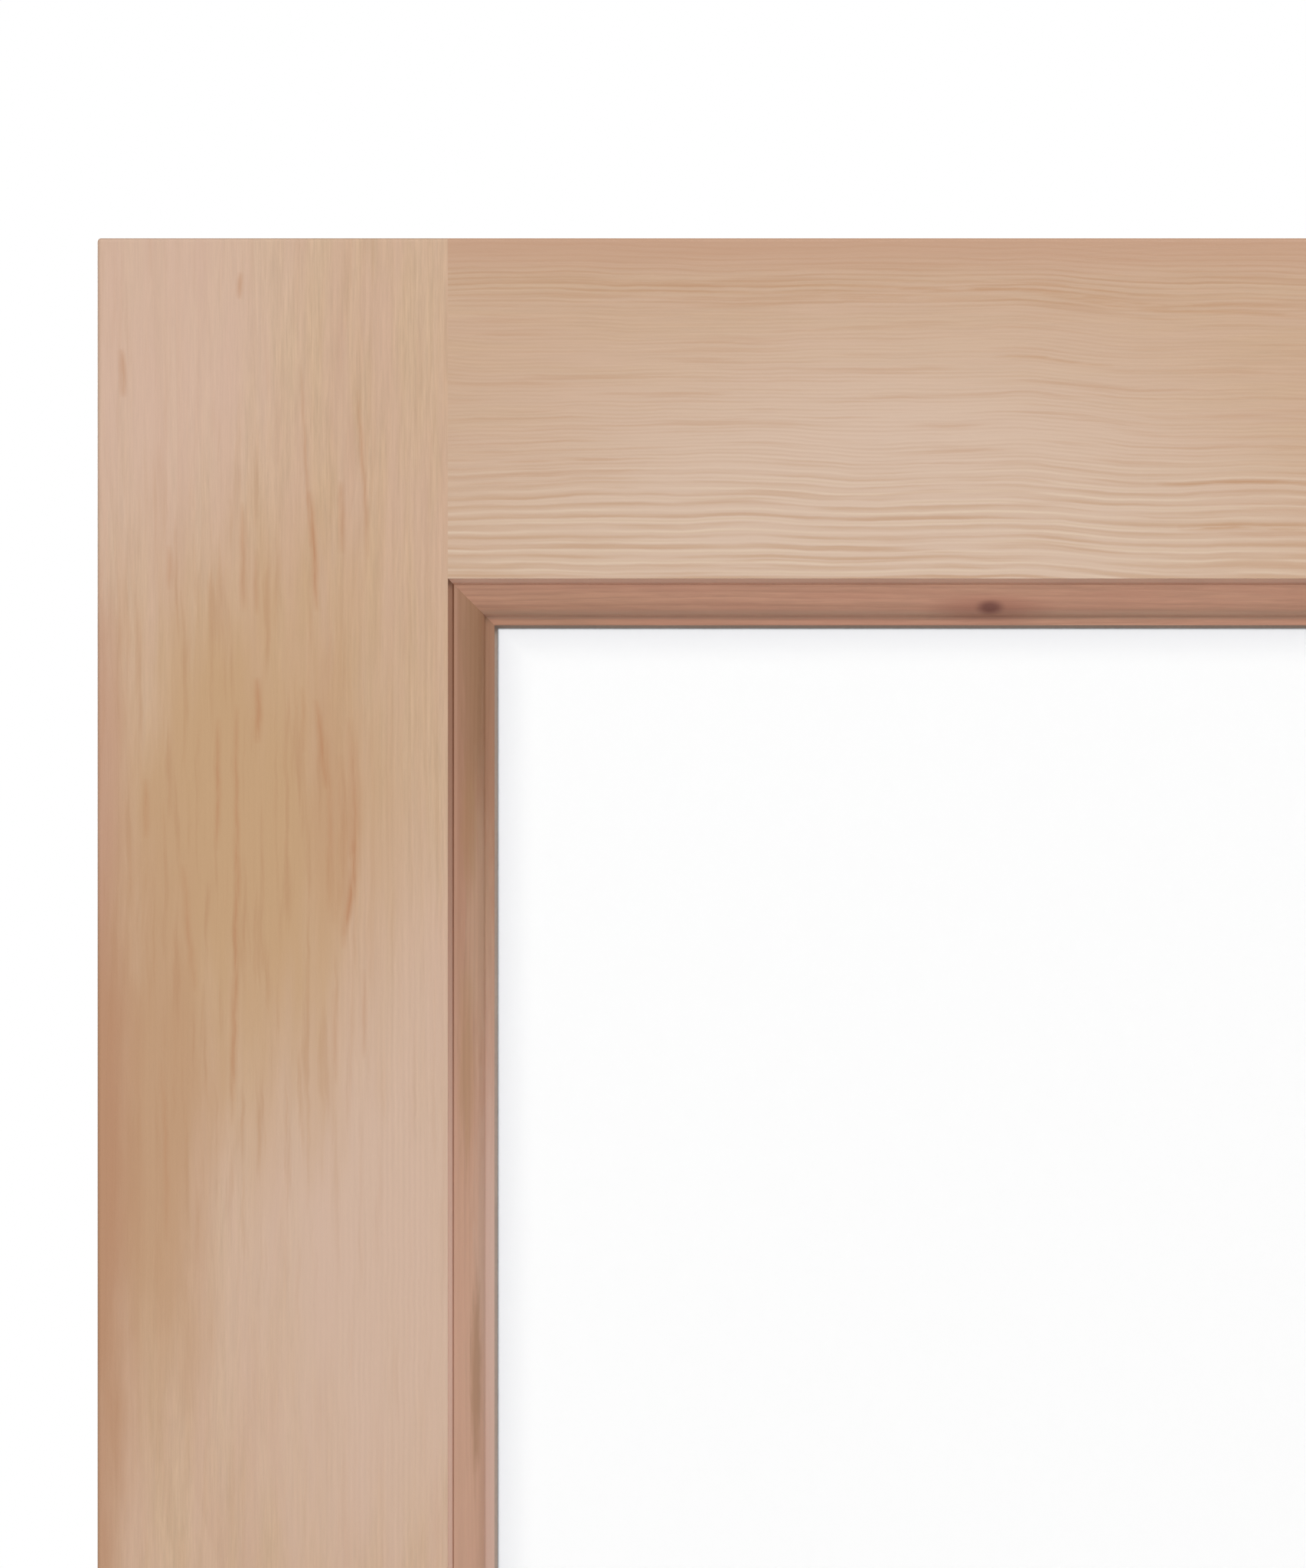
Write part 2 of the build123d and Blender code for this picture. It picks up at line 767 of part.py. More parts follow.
with BuildPart() as handle_inserts:
    for spot in insert_spots:
        with BuildSketch(Plane(spot)):
            Circle(insert_radius)
            Circle(bolt_radius + glue_fit, mode=Mode.SUBTRACT)
        extrude(amount=-insert_length)
handle_inserts.part.label = "handle_inserts"
export_step(handle_inserts.part, "parts/handle_inserts.step")

with BuildPart() as bolt_plugs:
    for spot in grip_front_spots:
        with BuildSketch(Plane(spot)):
            Circle(plug_radius - glue_fit)
        extrude(amount=bolt_head_height - plug_pocket_depth)
bolt_plugs.part.label = "bolt_plugs"
export_step(bolt_plugs.part, "parts/bolt_plugs.step")

# Strike plate: drawn from the face of the strike jamb, at the middle of the closed leaf's edge
closed_leaf_middle = front + leaf_thickness / 2
strike_face = Plane(
    origin=(-jamb_face, closed_leaf_middle, catch_height), x_dir=(0, 1, 0), z_dir=(1, 0, 0)
)
strike_screw_spots = [
    strike_face.location * Pos(0, side * catch_screw_spacing / 2) for side in (-1, 1)
]

with BuildPart() as strike_blank:
    with BuildSketch(strike_face):
        RectangleRounded(strike_width, strike_height, faceplate_corner_radius)
        Rectangle(leaf_thickness / 2, strike_lip_height, align=(Align.MAX, Align.CENTER))
    extrude(amount=-strike_thickness)

lip_foot = Plane(
    origin=(-jamb_face, front, catch_height - strike_lip_height / 2), x_dir=(0, -1, 0)
)
lip_centre = (0, -strike_lip_radius)

with BuildPart() as strike_plate:
    add(strike_blank.part)
    with BuildSketch(lip_foot):
        with BuildLine():
            lip_top = CenterArc(lip_centre, strike_lip_radius, 90, -strike_lip_turn)
            lip_underside = CenterArc(
                lip_centre, strike_lip_radius - strike_thickness, 90, -strike_lip_turn
            )
            Line(lip_top @ 0, lip_underside @ 0)
            Line(lip_top @ 1, lip_underside @ 1)
        make_face()
    extrude(amount=strike_lip_height)
    with BuildSketch(strike_face):
        Rectangle(strike_window_width, strike_window_height)
    extrude(amount=-strike_thickness, mode=Mode.SUBTRACT)
    with Locations(*strike_screw_spots):
        CounterSinkHole(
            small_screw_shank + pilot_fit,
            small_screw_head + countersink_fit,
            strike_thickness,
            countersink_angle,
        )
strike_plate.part.label = "strike_plate"
export_step(strike_plate.part, "parts/strike_plate.step")

with BuildPart() as strike_screws:
    with Locations(*strike_screw_spots):
        add(small_screw.part)
strike_screws.part.label = "strike_screws"
export_step(strike_screws.part, "parts/strike_screws.step")

# Frame: side jambs with the head housed into their tops, and the threshold between their feet
head_screw_level = head_underside + jamb_thickness / 2
threshold_screw_level = threshold_height / 2
corner_screw_places = [
    (side * frame_screw_spread, level)
    for side in (-1, 1)
    for level in (head_screw_level, threshold_screw_level)
]
hinge_jamb_back_spots = [
    Plane(origin=(jamb_back, y, z), z_dir=(1, 0, 0)).location for y, z in corner_screw_places
]
strike_jamb_back_spots = [
    Plane(origin=(-jamb_back, y, z), z_dir=(-1, 0, 0)).location for y, z in corner_screw_places
]
frame_pilot_radius = frame_screw_shank + pilot_fit
frame_pilot_depth = frame_screw_length + screw_end_gap

with BuildPart() as side_jamb:
    with BuildSketch(Plane.XY):
        with Locations((jamb_face, 0)):
            Rectangle(jamb_thickness, frame_depth, align=(Align.MIN, Align.CENTER))
    extrude(amount=frame_height)
    with BuildSketch(Plane.XY.offset(head_underside)):
        with Locations((jamb_face, 0)):
            Rectangle(head_housing, frame_depth, align=(Align.MIN, Align.CENTER))
    extrude(amount=jamb_thickness, mode=Mode.SUBTRACT)
    fillet(side_jamb.edges().filter_by(Axis.Z).group_by(Axis.X)[0], arris_round)

with BuildPart() as hinge_jamb:
    add(side_jamb.part)
    for level in hinge_levels.values():
        add(hinge_pocket(jamb_hinge_end(level)).part, mode=Mode.SUBTRACT)
    with Locations(*hinge_jamb_back_spots):
        CounterSinkHole(
            frame_pilot_radius,
            frame_screw_head + countersink_fit,
            frame_pilot_depth,
            countersink_angle,
        )
hinge_jamb.part.label = "hinge_jamb"
export_step(hinge_jamb.part, "parts/hinge_jamb.step")

with BuildPart() as strike_jamb:
    mirror(side_jamb.part, about=Plane.YZ)
    add(strike_blank.part, mode=Mode.SUBTRACT)
    with BuildSketch(strike_face):
        Rectangle(strike_window_width, strike_window_height)
    extrude(amount=-strike_thickness - strike_pocket_depth, mode=Mode.SUBTRACT)
    with Locations(*strike_screw_spots):
        Hole(small_screw_shank + pilot_fit, small_screw_length + screw_end_gap)
    with Locations(*strike_jamb_back_spots):
        CounterSinkHole(
            frame_pilot_radius,
            frame_screw_head + countersink_fit,
            frame_pilot_depth,
            countersink_angle,
        )
strike_jamb.part.label = "strike_jamb"
export_step(strike_jamb.part, "parts/strike_jamb.step")

with BuildPart() as head_jamb:
    with BuildSketch(Plane.XY.offset(head_underside)):
        Rectangle(clear_width + 2 * head_housing, frame_depth)
    extrude(amount=jamb_thickness)
    with Locations(*hinge_jamb_back_spots, *strike_jamb_back_spots):
        Hole(frame_pilot_radius, frame_pilot_depth)
head_jamb.part.label = "head_jamb"
export_step(head_jamb.part, "parts/head_jamb.step")

with BuildPart() as threshold:
    with BuildSketch(Plane.XY):
        Rectangle(clear_width, frame_depth)
    extrude(amount=threshold_height)
    chamfer(
        threshold.edges().filter_by(Axis.X).group_by(Axis.Z)[-1],
        threshold_bevel_drop,
        threshold_bevel,
    )
    with Locations(*hinge_jamb_back_spots, *strike_jamb_back_spots):
        Hole(frame_pilot_radius, frame_pilot_depth)
threshold.part.label = "threshold"
export_step(threshold.part, "parts/threshold.step")

with BuildPart() as frame_screws:
    with Locations(*hinge_jamb_back_spots, *strike_jamb_back_spots):
        add(frame_screw.part)
frame_screws.part.label = "frame_screws"
export_step(frame_screws.part, "parts/frame_screws.step")

# Stops: planted strips that the closed leaf meets, the side ones under the head one
stop_front = front + leaf_thickness + stop_clearance

with BuildPart() as head_stop:
    with BuildSketch(Plane.YZ.offset(-clear_width / 2)):
        with Locations((stop_front, head_underside)):
            Rectangle(stop_depth, stop_projection, align=(Align.MIN, Align.MAX))
    extrude(amount=clear_width)
    fillet(head_stop.edges().filter_by(Axis.X).group_by(Axis.Z)[0], stop_round)
head_stop.part.label = "head_stop"
export_step(head_stop.part, "parts/head_stop.step")

with BuildPart() as hinge_stop:
    with BuildSketch(Plane.XY.offset(threshold_height)):
        with Locations((jamb_face, stop_front)):
            Rectangle(stop_projection, stop_depth, align=(Align.MAX, Align.MIN))
    extrude(amount=head_underside - stop_projection - threshold_height)
    fillet(hinge_stop.edges().filter_by(Axis.Z).group_by(Axis.X)[0], stop_round)
hinge_stop.part.label = "hinge_stop"
export_step(hinge_stop.part, "parts/hinge_stop.step")

with BuildPart() as strike_stop:
    mirror(hinge_stop.part, about=Plane.YZ)
strike_stop.part.label = "strike_stop"
export_step(strike_stop.part, "parts/strike_stop.step")
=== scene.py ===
import math

import bmesh
import bpy
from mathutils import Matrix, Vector


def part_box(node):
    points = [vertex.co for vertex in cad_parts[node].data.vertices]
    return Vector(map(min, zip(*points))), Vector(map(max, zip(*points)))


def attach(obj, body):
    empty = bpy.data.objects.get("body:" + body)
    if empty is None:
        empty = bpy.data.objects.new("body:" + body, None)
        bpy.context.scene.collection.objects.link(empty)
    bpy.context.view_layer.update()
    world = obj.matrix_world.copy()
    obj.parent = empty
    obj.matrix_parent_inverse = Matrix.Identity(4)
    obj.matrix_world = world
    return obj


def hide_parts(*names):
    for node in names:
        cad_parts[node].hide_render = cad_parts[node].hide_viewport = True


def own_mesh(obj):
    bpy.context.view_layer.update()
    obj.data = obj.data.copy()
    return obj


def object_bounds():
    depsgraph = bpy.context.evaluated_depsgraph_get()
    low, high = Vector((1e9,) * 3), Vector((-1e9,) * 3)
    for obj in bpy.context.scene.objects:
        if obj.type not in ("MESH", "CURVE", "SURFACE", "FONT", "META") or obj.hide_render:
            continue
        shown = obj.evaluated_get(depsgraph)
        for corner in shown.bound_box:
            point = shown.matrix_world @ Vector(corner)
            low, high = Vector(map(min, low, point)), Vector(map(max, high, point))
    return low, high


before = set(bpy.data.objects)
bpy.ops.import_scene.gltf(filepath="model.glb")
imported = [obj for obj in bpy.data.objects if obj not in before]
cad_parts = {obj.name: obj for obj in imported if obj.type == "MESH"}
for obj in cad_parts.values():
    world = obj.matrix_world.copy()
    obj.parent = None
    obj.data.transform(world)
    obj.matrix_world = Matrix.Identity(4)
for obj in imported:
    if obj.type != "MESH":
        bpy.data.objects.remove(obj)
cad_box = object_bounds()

# Places taken from the frame, in metres
stile_low, stile_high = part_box("latch_stile")
pull_face = stile_high.x
latch_edge = stile_low.y
leaf_top = stile_high.z
cavity_low, cavity_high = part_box("spacer_bar")
cavity_middle = (cavity_low.x + cavity_high.x) / 2
sight_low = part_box("outer_latch_side_bead")[1].y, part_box("outer_bottom_bead")[1].z
sight_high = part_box("outer_hinge_side_bead")[0].y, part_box("outer_top_bead")[0].z
mm = 0.001

# The photograph's view in millimetres, with its centre measured from the upper latch corner
view_height = 511.2
view_centre_across = 181.2
view_centre_down = 178.0
view_distance = 2500.0
film_height = 36.0

white = (1.0, 1.0, 1.0, 1.0)
full_turn = 2 * math.pi


def colour(red, green, blue):
    """A screen colour from 0 to 255 as the linear colour that a shader takes."""
    parts = []
    for part in (red, green, blue):
        share = part / 255.0
        parts.append(share / 12.92 if share <= 0.04045 else ((share + 0.055) / 1.055) ** 2.4)
    return (*parts, 1.0)


def tints(*screen_colours):
    return [colour(*screen_colour) for screen_colour in screen_colours]


def placed(name, data):
    """A new object at the origin of the scene."""
    piece = bpy.data.objects.new(name, data)
    bpy.context.scene.collection.objects.link(piece)
    return piece


def cover(mesh, material):
    """Gives a mesh one material, on every face."""
    mesh.materials.clear()
    mesh.materials.append(material)
    for face in mesh.polygons:
        face.material_index = 0


class Nodes:
    """Short calls for the nodes of one tree."""

    def __init__(self, tree):
        self.tree = tree

    def add(self, kind, values=None, **settings):
        """A node with its settings, and with values for inputs given by name or place."""
        node = self.tree.nodes.new(kind)
        for name, setting in settings.items():
            setattr(node, name, setting)
        for key, value in (values or {}).items():
            self.feed(node.inputs[key], value)
        return node

    def feed(self, socket, value):
        """Links a socket to another one's output, or sets it to a plain value."""
        if isinstance(value, bpy.types.NodeSocket):
            self.tree.links.new(value, socket)
        else:
            socket.default_value = value

    def sum(self, operation, first, second=0.0, third=0.0, clamp=False):
        values = {0: first, 1: second, 2: third}
        return self.add("ShaderNodeMath", values, operation=operation, use_clamp=clamp).outputs[0]

    def vector_sum(self, operation, first, second=(0.0, 0.0, 0.0)):
        node = self.add("ShaderNodeVectorMath", {0: first, 1: second}, operation=operation)
        return node.outputs["Value"] if operation == "LENGTH" else node.outputs["Vector"]

    def scaled(self, vector, scale):
        values = {"Vector": vector, "Scale": scale}
        return self.add("ShaderNodeVectorMath", values, operation="SCALE").outputs["Vector"]

    def split(self, vector):
        return self.add("ShaderNodeSeparateXYZ", {0: vector}).outputs

    def join(self, x, y, z):
        return self.add("ShaderNodeCombineXYZ", {0: x, 1: y, 2: z}).outputs[0]

    def rise(self, value, low, high, to_low=0.0, to_high=1.0, way="SMOOTHSTEP"):
        """A step from to_low to to_high as the value goes from low to high."""
        values = {0: value, 1: low, 2: high, 3: to_low, 4: to_high}
        return self.add("ShaderNodeMapRange", values, interpolation_type=way).outputs[0]

    def named_inputs(self, kinds):
        """Adds inputs to a group by name and kind, and gives their outputs inside it."""
        for name, kind in kinds.items():
            self.tree.interface.new_socket(name, in_out="INPUT", socket_type="NodeSocket" + kind)
        return self.add("NodeGroupInput").outputs

    def result(self, name, kind, value):
        self.tree.interface.new_socket(name, in_out="OUTPUT", socket_type="NodeSocket" + kind)
        self.add("NodeGroupOutput", {0: value})

    def seen(self):
        """One where a ray comes from the camera, from a mirror or through glass."""
        path = self.add("ShaderNodeLightPath").outputs
        share = self.sum("MAXIMUM", path["Is Camera Ray"], path["Is Glossy Ray"])
        return self.sum("MAXIMUM", share, path["Is Transmission Ray"])


class Finish(Nodes):
    """One material, with short calls for its patterns."""

    def __init__(self, name, roughness=0.5, metal=0.0):
        self.material = bpy.data.materials.new(name)
        self.material.use_nodes = True
        super().__init__(self.material.node_tree)
        self.tree.nodes.clear()
        values = {"Roughness": roughness, "Metallic": metal}
        self.shader = self.add("ShaderNodeBsdfPrincipled", values)
        self.add("ShaderNodeOutputMaterial", {"Surface": self.shader.outputs["BSDF"]})
        source = self.add("ShaderNodeTexCoord")
        self.place = source.outputs["Object"]
        self.facing = source.outputs["Normal"]

    def body(self):
        """The place on the piece in millimetres."""
        return self.scaled(self.place, 1 / mm)

    def turned(self, vector, turn):
        return self.add("ShaderNodeMapping", {"Vector": vector, "Rotation": turn}).outputs[0]

    def noise(self, vector, detail=2.0, roughness=0.5):
        """Smooth noise round one half, with features one unit of the vector across."""
        values = {"Vector": vector, "Scale": 1.0, "Detail": detail, "Roughness": roughness}
        return self.add("ShaderNodeTexNoise", values).outputs[0]

    def grain(self, vector, shares, detail=2.0, roughness=0.5):
        """Noise drawn out along the axes that have small shares."""
        return self.noise(self.vector_sum("MULTIPLY", vector, shares), detail, roughness)

    def drawn(self, along, aside, shares, shift=0.0, detail=2.0):
        """Noise on a face, from its millimetres along and aside and a share of each."""
        along = self.sum("MULTIPLY", along, shares[0])
        aside = self.sum("MULTIPLY", aside, shares[1])
        return self.noise(self.join(along, aside, shift), detail)

    def waves(self, level, spacing):
        """Waves between minus one and one, in millimetres from crest to crest."""
        return self.sum("COSINE", self.sum("MULTIPLY", level, full_turn / spacing))

    def mix(self, share, first, second):
        values = {0: share, 6: first, 7: second}
        return self.add("ShaderNodeMix", values, data_type="RGBA").outputs[2]

    def laid(self, base, mask, strength, tint):
        """The base colour with another tone laid over it where the mask is."""
        return self.mix(self.sum("MULTIPLY", mask, strength), base, tint)

    def shade(self, base, amount):
        """The base colour made darker or lighter by an amount, a number near one."""
        plain = not isinstance(base, bpy.types.NodeSocket)
        return self.scaled(base[:3] if plain else base, amount)

    def relief(self, height, depth, strength=1.0):
        values = {"Strength": strength, "Distance": depth, "Height": height}
        self.feed(self.shader.inputs["Normal"], self.add("ShaderNodeBump", values).outputs[0])

    def paint(self, base, roughness=None):
        self.feed(self.shader.inputs["Base Color"], base)
        if roughness is not None:
            self.feed(self.shader.inputs["Roughness"], roughness)
        return self.material


def make_streak_group():
    """A shader group for one dark line of grain: thin, tapered at both ends, leaning or bowed."""
    group = Nodes(bpy.data.node_groups.new("grain streak", "ShaderNodeTree"))
    names = ("Along", "Aside", "Start along", "Start aside", "Length", "Lean", "Bow", "Width")
    sockets = group.named_inputs({name: "Float" for name in names})
    along, aside, start_along, start_aside, length, lean, bow, width = sockets[: len(names)]
    share = group.sum("DIVIDE", group.sum("SUBTRACT", along, start_along), length)
    swell = group.sum("MULTIPLY", share, group.sum("SUBTRACT", 1.0, share))
    swell = group.sum("MULTIPLY", swell, 4.0, clamp=True)
    middle = group.sum("MULTIPLY_ADD", lean, share, start_aside)
    middle = group.sum("MULTIPLY_ADD", bow, swell, middle)
    distance = group.sum("ABSOLUTE", group.sum("SUBTRACT", aside, middle))
    near = group.sum("SUBTRACT", 1.0, group.sum("DIVIDE", distance, width), clamp=True)
    mask = group.sum("MULTIPLY", group.sum("POWER", near, 1.2), group.sum("POWER", swell, 0.6))
    group.result("Mask", "Float", mask)
    return group.tree


streak_group = make_streak_group()


def streak(finish, along, aside, start_along, start_aside, length, lean, bow, width):
    """The mask of one grain streak, in millimetres."""
    node = finish.add("ShaderNodeGroup", node_tree=streak_group)
    values = (along, aside, start_along, start_aside, length, lean, bow, width)
    for socket, value in zip(node.inputs, values):
        finish.feed(socket, value)
    return node.outputs[0]


def patch(finish, along, aside, centre_along, centre_aside, half_length, half_width, ragged=0.0):
    """The mask of one soft oval of another tone, in millimetres."""
    up = finish.sum("DIVIDE", finish.sum("SUBTRACT", along, centre_along), half_length)
    side = finish.sum("DIVIDE", finish.sum("SUBTRACT", aside, centre_aside), half_width)
    distance = finish.vector_sum("LENGTH", finish.join(up, side, 0.0))
    distance = finish.sum("ADD", distance, ragged)
    return finish.rise(distance, 0.3, 1.3, 1.0, 0.0)


def lay_tones(finish, base, rows, along, aside, ragged):
    """Lays a list of soft ovals over the base colour."""
    for *oval, tint, strength in rows:
        base = finish.laid(base, patch(finish, along, aside, *oval, ragged), strength, tint)
    return base


def streak_marks(finish, rows, along, aside, wider, most):
    """The masks of a list of streaks, one over the other up to the most that they may reach."""
    marks = 0.0
    for *line, width, strength in rows:
        mask = streak(finish, along, aside, *line, wider * width)
        marks = finish.sum("MULTIPLY_ADD", mask, strength, marks)
    return finish.sum("MINIMUM", marks, most)


def from_corner(finish):
    """Millimetres across, down and inward from the upper latch corner of the pull face."""
    x, y, z = finish.split(finish.place)
    spans = ((y, latch_edge), (leaf_top, z), (pull_face, x))
    return [finish.sum("MULTIPLY", finish.sum("SUBTRACT", *span), 1 / mm) for span in spans]


# Turns that bring the grain of a board onto the third axis
grain_turn = {
    "upright": (0.0, 0.0, 0.0),
    "along_leaf": (math.radians(90), 0.0, 0.0),
    "along_head": (0.0, math.radians(-90), 0.0),
}


def wood(name, grain, heart, ring, wood_tints, figure=0.6, details=None, roughness=0.5):
    """Planed wood as a solid pattern: yearly rings round a heart, fibres and tones.

    heart is the ring centre across the grain and ring the mean ring width, both in millimetres.
    wood_tints are the pale, the warm, the rosy and the dark colour of the wood.
    """
    pale, warm, rosy, dark = wood_tints
    ring_drift, ring_ripple, ring_spread = 26.0, 2.4, 3.0
    finish = Finish(name)
    body = finish.turned(finish.body(), grain_turn[grain])

    drift = finish.grain(body, (0.012, 0.012, 0.0022))
    ripple = finish.grain(body, (0.07, 0.07, 0.012))
    x, y, z = finish.split(body)
    x = finish.sum("SUBTRACT", x, heart[0])
    y = finish.sum("SUBTRACT", y, heart[1])
    radius = finish.vector_sum("LENGTH", finish.join(x, y, 0.0))
    radius = finish.sum("MULTIPLY_ADD", finish.sum("SUBTRACT", drift, 0.5), ring_drift, radius)
    radius = finish.sum("MULTIPLY_ADD", finish.sum("SUBTRACT", ripple, 0.5), ring_ripple, radius)
    age = finish.sum("DIVIDE", radius, ring)
    spread = finish.noise(finish.join(finish.sum("MULTIPLY", age, 0.35), 0.0, 0.0), 1.0)
    age = finish.sum("MULTIPLY_ADD", spread, ring_spread, age)
    year = finish.sum("FRACT", age)
    summer_end = finish.rise(year, 0.9, 1.0, 1.0, 0.0)
    late = finish.sum("MULTIPLY", finish.rise(year, 0.2, 0.88), summer_end)

    wide = finish.grain(body, (0.03, 0.03, 0.004))
    strength = finish.rise(wide, 0.3, 0.68, 0.25 * figure, figure)
    tone = finish.grain(body, (0.016, 0.016, 0.0035), 1.0)
    base = finish.mix(finish.rise(tone, 0.32, 0.68), pale, warm)
    base = finish.laid(base, late, strength, dark)

    fibre = finish.grain(body, (2.0, 2.0, 0.1), 3.0, 0.6)
    fleck = finish.grain(body, (0.7, 0.7, 0.045), 3.0, 0.6)
    cloud = finish.grain(body, (0.13, 0.13, 0.016))
    base = finish.shade(base, finish.rise(fibre, 0.3, 0.7, 0.95, 1.05))
    base = finish.shade(base, finish.rise(fleck, 0.3, 0.7, 0.94, 1.05))
    base = finish.mix(finish.rise(cloud, 0.3, 0.7, 0.0, 0.5), base, rosy)
    if details:
        base = details(finish, base)

    end = finish.split(finish.turned(finish.facing, grain_turn[grain]))[2]
    end = finish.rise(finish.sum("ABSOLUTE", end), 0.6, 0.9, 1.0, 0.8)
    base = finish.shade(base, end)
    height = finish.sum("MULTIPLY_ADD", late, 0.5, fibre)
    finish.relief(height, 0.12 * mm, 0.35)
    finish.shader.inputs["Specular IOR Level"].default_value = 0.3
    return finish.paint(base, finish.rise(fibre, 0.3, 0.7, roughness - 0.04, roughness + 0.06))


# Streaks on the latch stile: down, across, length, lean, bow, width, strength
stile_streaks = [
    (36, 8.1, 16, 0.3, 0, 1.3, 0.55),
    (11, 46.5, 9, 0, 0, 1.2, 0.45),
    (41, 66, 60, 3.2, 0.4, 0.7, 0.35),
    (82, 69.2, 40, 2.4, 0.3, 1.2, 0.75),
    (49, 84.8, 56, 3.3, 0.4, 0.9, 0.45),
    (79, 79.4, 24, 0.3, 0, 1.2, 0.5),
    (86, 47.4, 36, 0.3, 0, 1.2, 0.5),
    (101, 51.8, 22, 0.2, 0, 1, 0.35),
    (100, 23.4, 15, 0.4, 0, 1.2, 0.35),
    (143, 52.2, 22, 0, 0.3, 1.3, 0.7),
    (150, 71.2, 30, 3.4, 0.3, 1.2, 0.6),
    (146, 66.8, 22, 0.6, 0, 1, 0.3),
    (156, 39.3, 44, -0.4, 0.3, 1.1, 0.55),
    (152, 45.4, 130, -0.8, 0.4, 1, 0.6),
    (156, 82, 72, -1.6, 3, 1.8, 0.5),
    (168, 79, 56, -1.4, 2.4, 2.6, 0.3),
    (160, 74.5, 60, 0.6, 1.2, 1.2, 0.35),
    (196, 83.6, 36, -3.4, 0.6, 1.1, 0.45),
    (204, 27.6, 42, 4.2, 0, 1.2, 0.4),
    (176, 15.9, 20, 0, 0, 1.2, 0.35),
    (244, 77.5, 32, 0.2, 0, 1, 0.3),
    (238, 87, 30, 0, 0, 1, 0.3),
    (240, 43.9, 50, 0, 0.2, 0.9, 0.35),
    (268, 21, 60, 1.5, 0.6, 1.2, 0.3),
]

# Tones on the latch stile: down, across, half length, half width, colour, strength
stile_tones = [
    (30, 18, 80, 40, colour(214, 181, 162), 0.55),
    (165, 97, 70, 22, colour(198, 163, 128), 0.35),
    (335, 92, 130, 58, colour(212, 182, 162), 0.8),
    (196, 46, 106, 50, colour(196, 159, 120), 0.95),
    (295, 19, 110, 21, colour(191, 151, 116), 0.85),
    (180, 76, 50, 10, colour(191, 150, 114), 0.5),
    (300, 0, 185, 13, colour(183, 137, 105), 0.88),
    (170, 0, 70, 8, colour(199, 158, 136), 0.5),
]


def latch_stile_details(finish, base):
    across, down, inward = from_corner(finish)
    aside = finish.sum("MULTIPLY_ADD", inward, 0.35, across)
    ragged = finish.drawn(down, across, (0.015, 0.09), 0.0, 3.0)
    ragged = finish.sum("MULTIPLY_ADD", ragged, 0.9, -0.45)
    base = lay_tones(finish, base, stile_tones, down, aside, ragged)

    wander = finish.sum("SUBTRACT", finish.drawn(down, aside, (0.05, 0.0)), 0.5)
    aside = finish.sum("MULTIPLY_ADD", wander, 2.2, aside)
    dash = finish.rise(finish.drawn(down, aside, (0.02, 0.33), 9.0, 3.0), 0.5, 0.72)
    ochre = patch(finish, down, aside, 200.0, 44.0, 150.0, 48.0)
    dash = finish.sum("MULTIPLY", dash, finish.rise(ochre, 0.0, 1.0, 0.1, 0.42))
    base = finish.mix(dash, base, colour(180, 134, 98))

    close_ring = finish.waves(aside, 1.8)
    patchy = finish.rise(finish.drawn(down, aside, (0.012, 0.15), 2.0), 0.3, 0.65, 0.2, 1.0)
    patchy = finish.sum("MULTIPLY", patchy, finish.rise(across, 66.0, 100.0, 0.006, 0.024))
    base = finish.shade(base, finish.sum("MULTIPLY_ADD", close_ring, patchy, 1.0))

    marks = streak_marks(finish, stile_streaks, down, aside, 1.5, 0.9)
    broken = finish.rise(finish.drawn(down, across, (0.09, 0.8), 5.0), 0.25, 0.6, 0.45, 1.0)
    return finish.laid(base, marks, broken, colour(181, 126, 87))


# Thin orange lines on the top rail: across, down, length, lean, bow, width, strength
rail_streaks = [
    (130, 14.6, 180, 3.2, -1.2, 1.5, 0.3),
    (150, 17.4, 150, 2.2, -0.9, 1.2, 0.3),
    (180, 20, 150, 1.2, -0.8, 1.2, 0.3),
    (240, 12.4, 150, 4.4, 0.4, 1.1, 0.3),
    (250, 15, 160, 5, 0.4, 1.4, 0.42),
    (300, 18, 130, 5.5, 0.4, 1.4, 0.42),
    (345, 77.3, 60, 0.4, 0, 1.2, 0.65),
    (352, 91.6, 44, 0, 0.2, 1.6, 0.7),
    (292, 39, 40, 0.3, 0, 1, 0.4),
    (130, 72.5, 40, 0.4, 0, 0.9, 0.35),
]


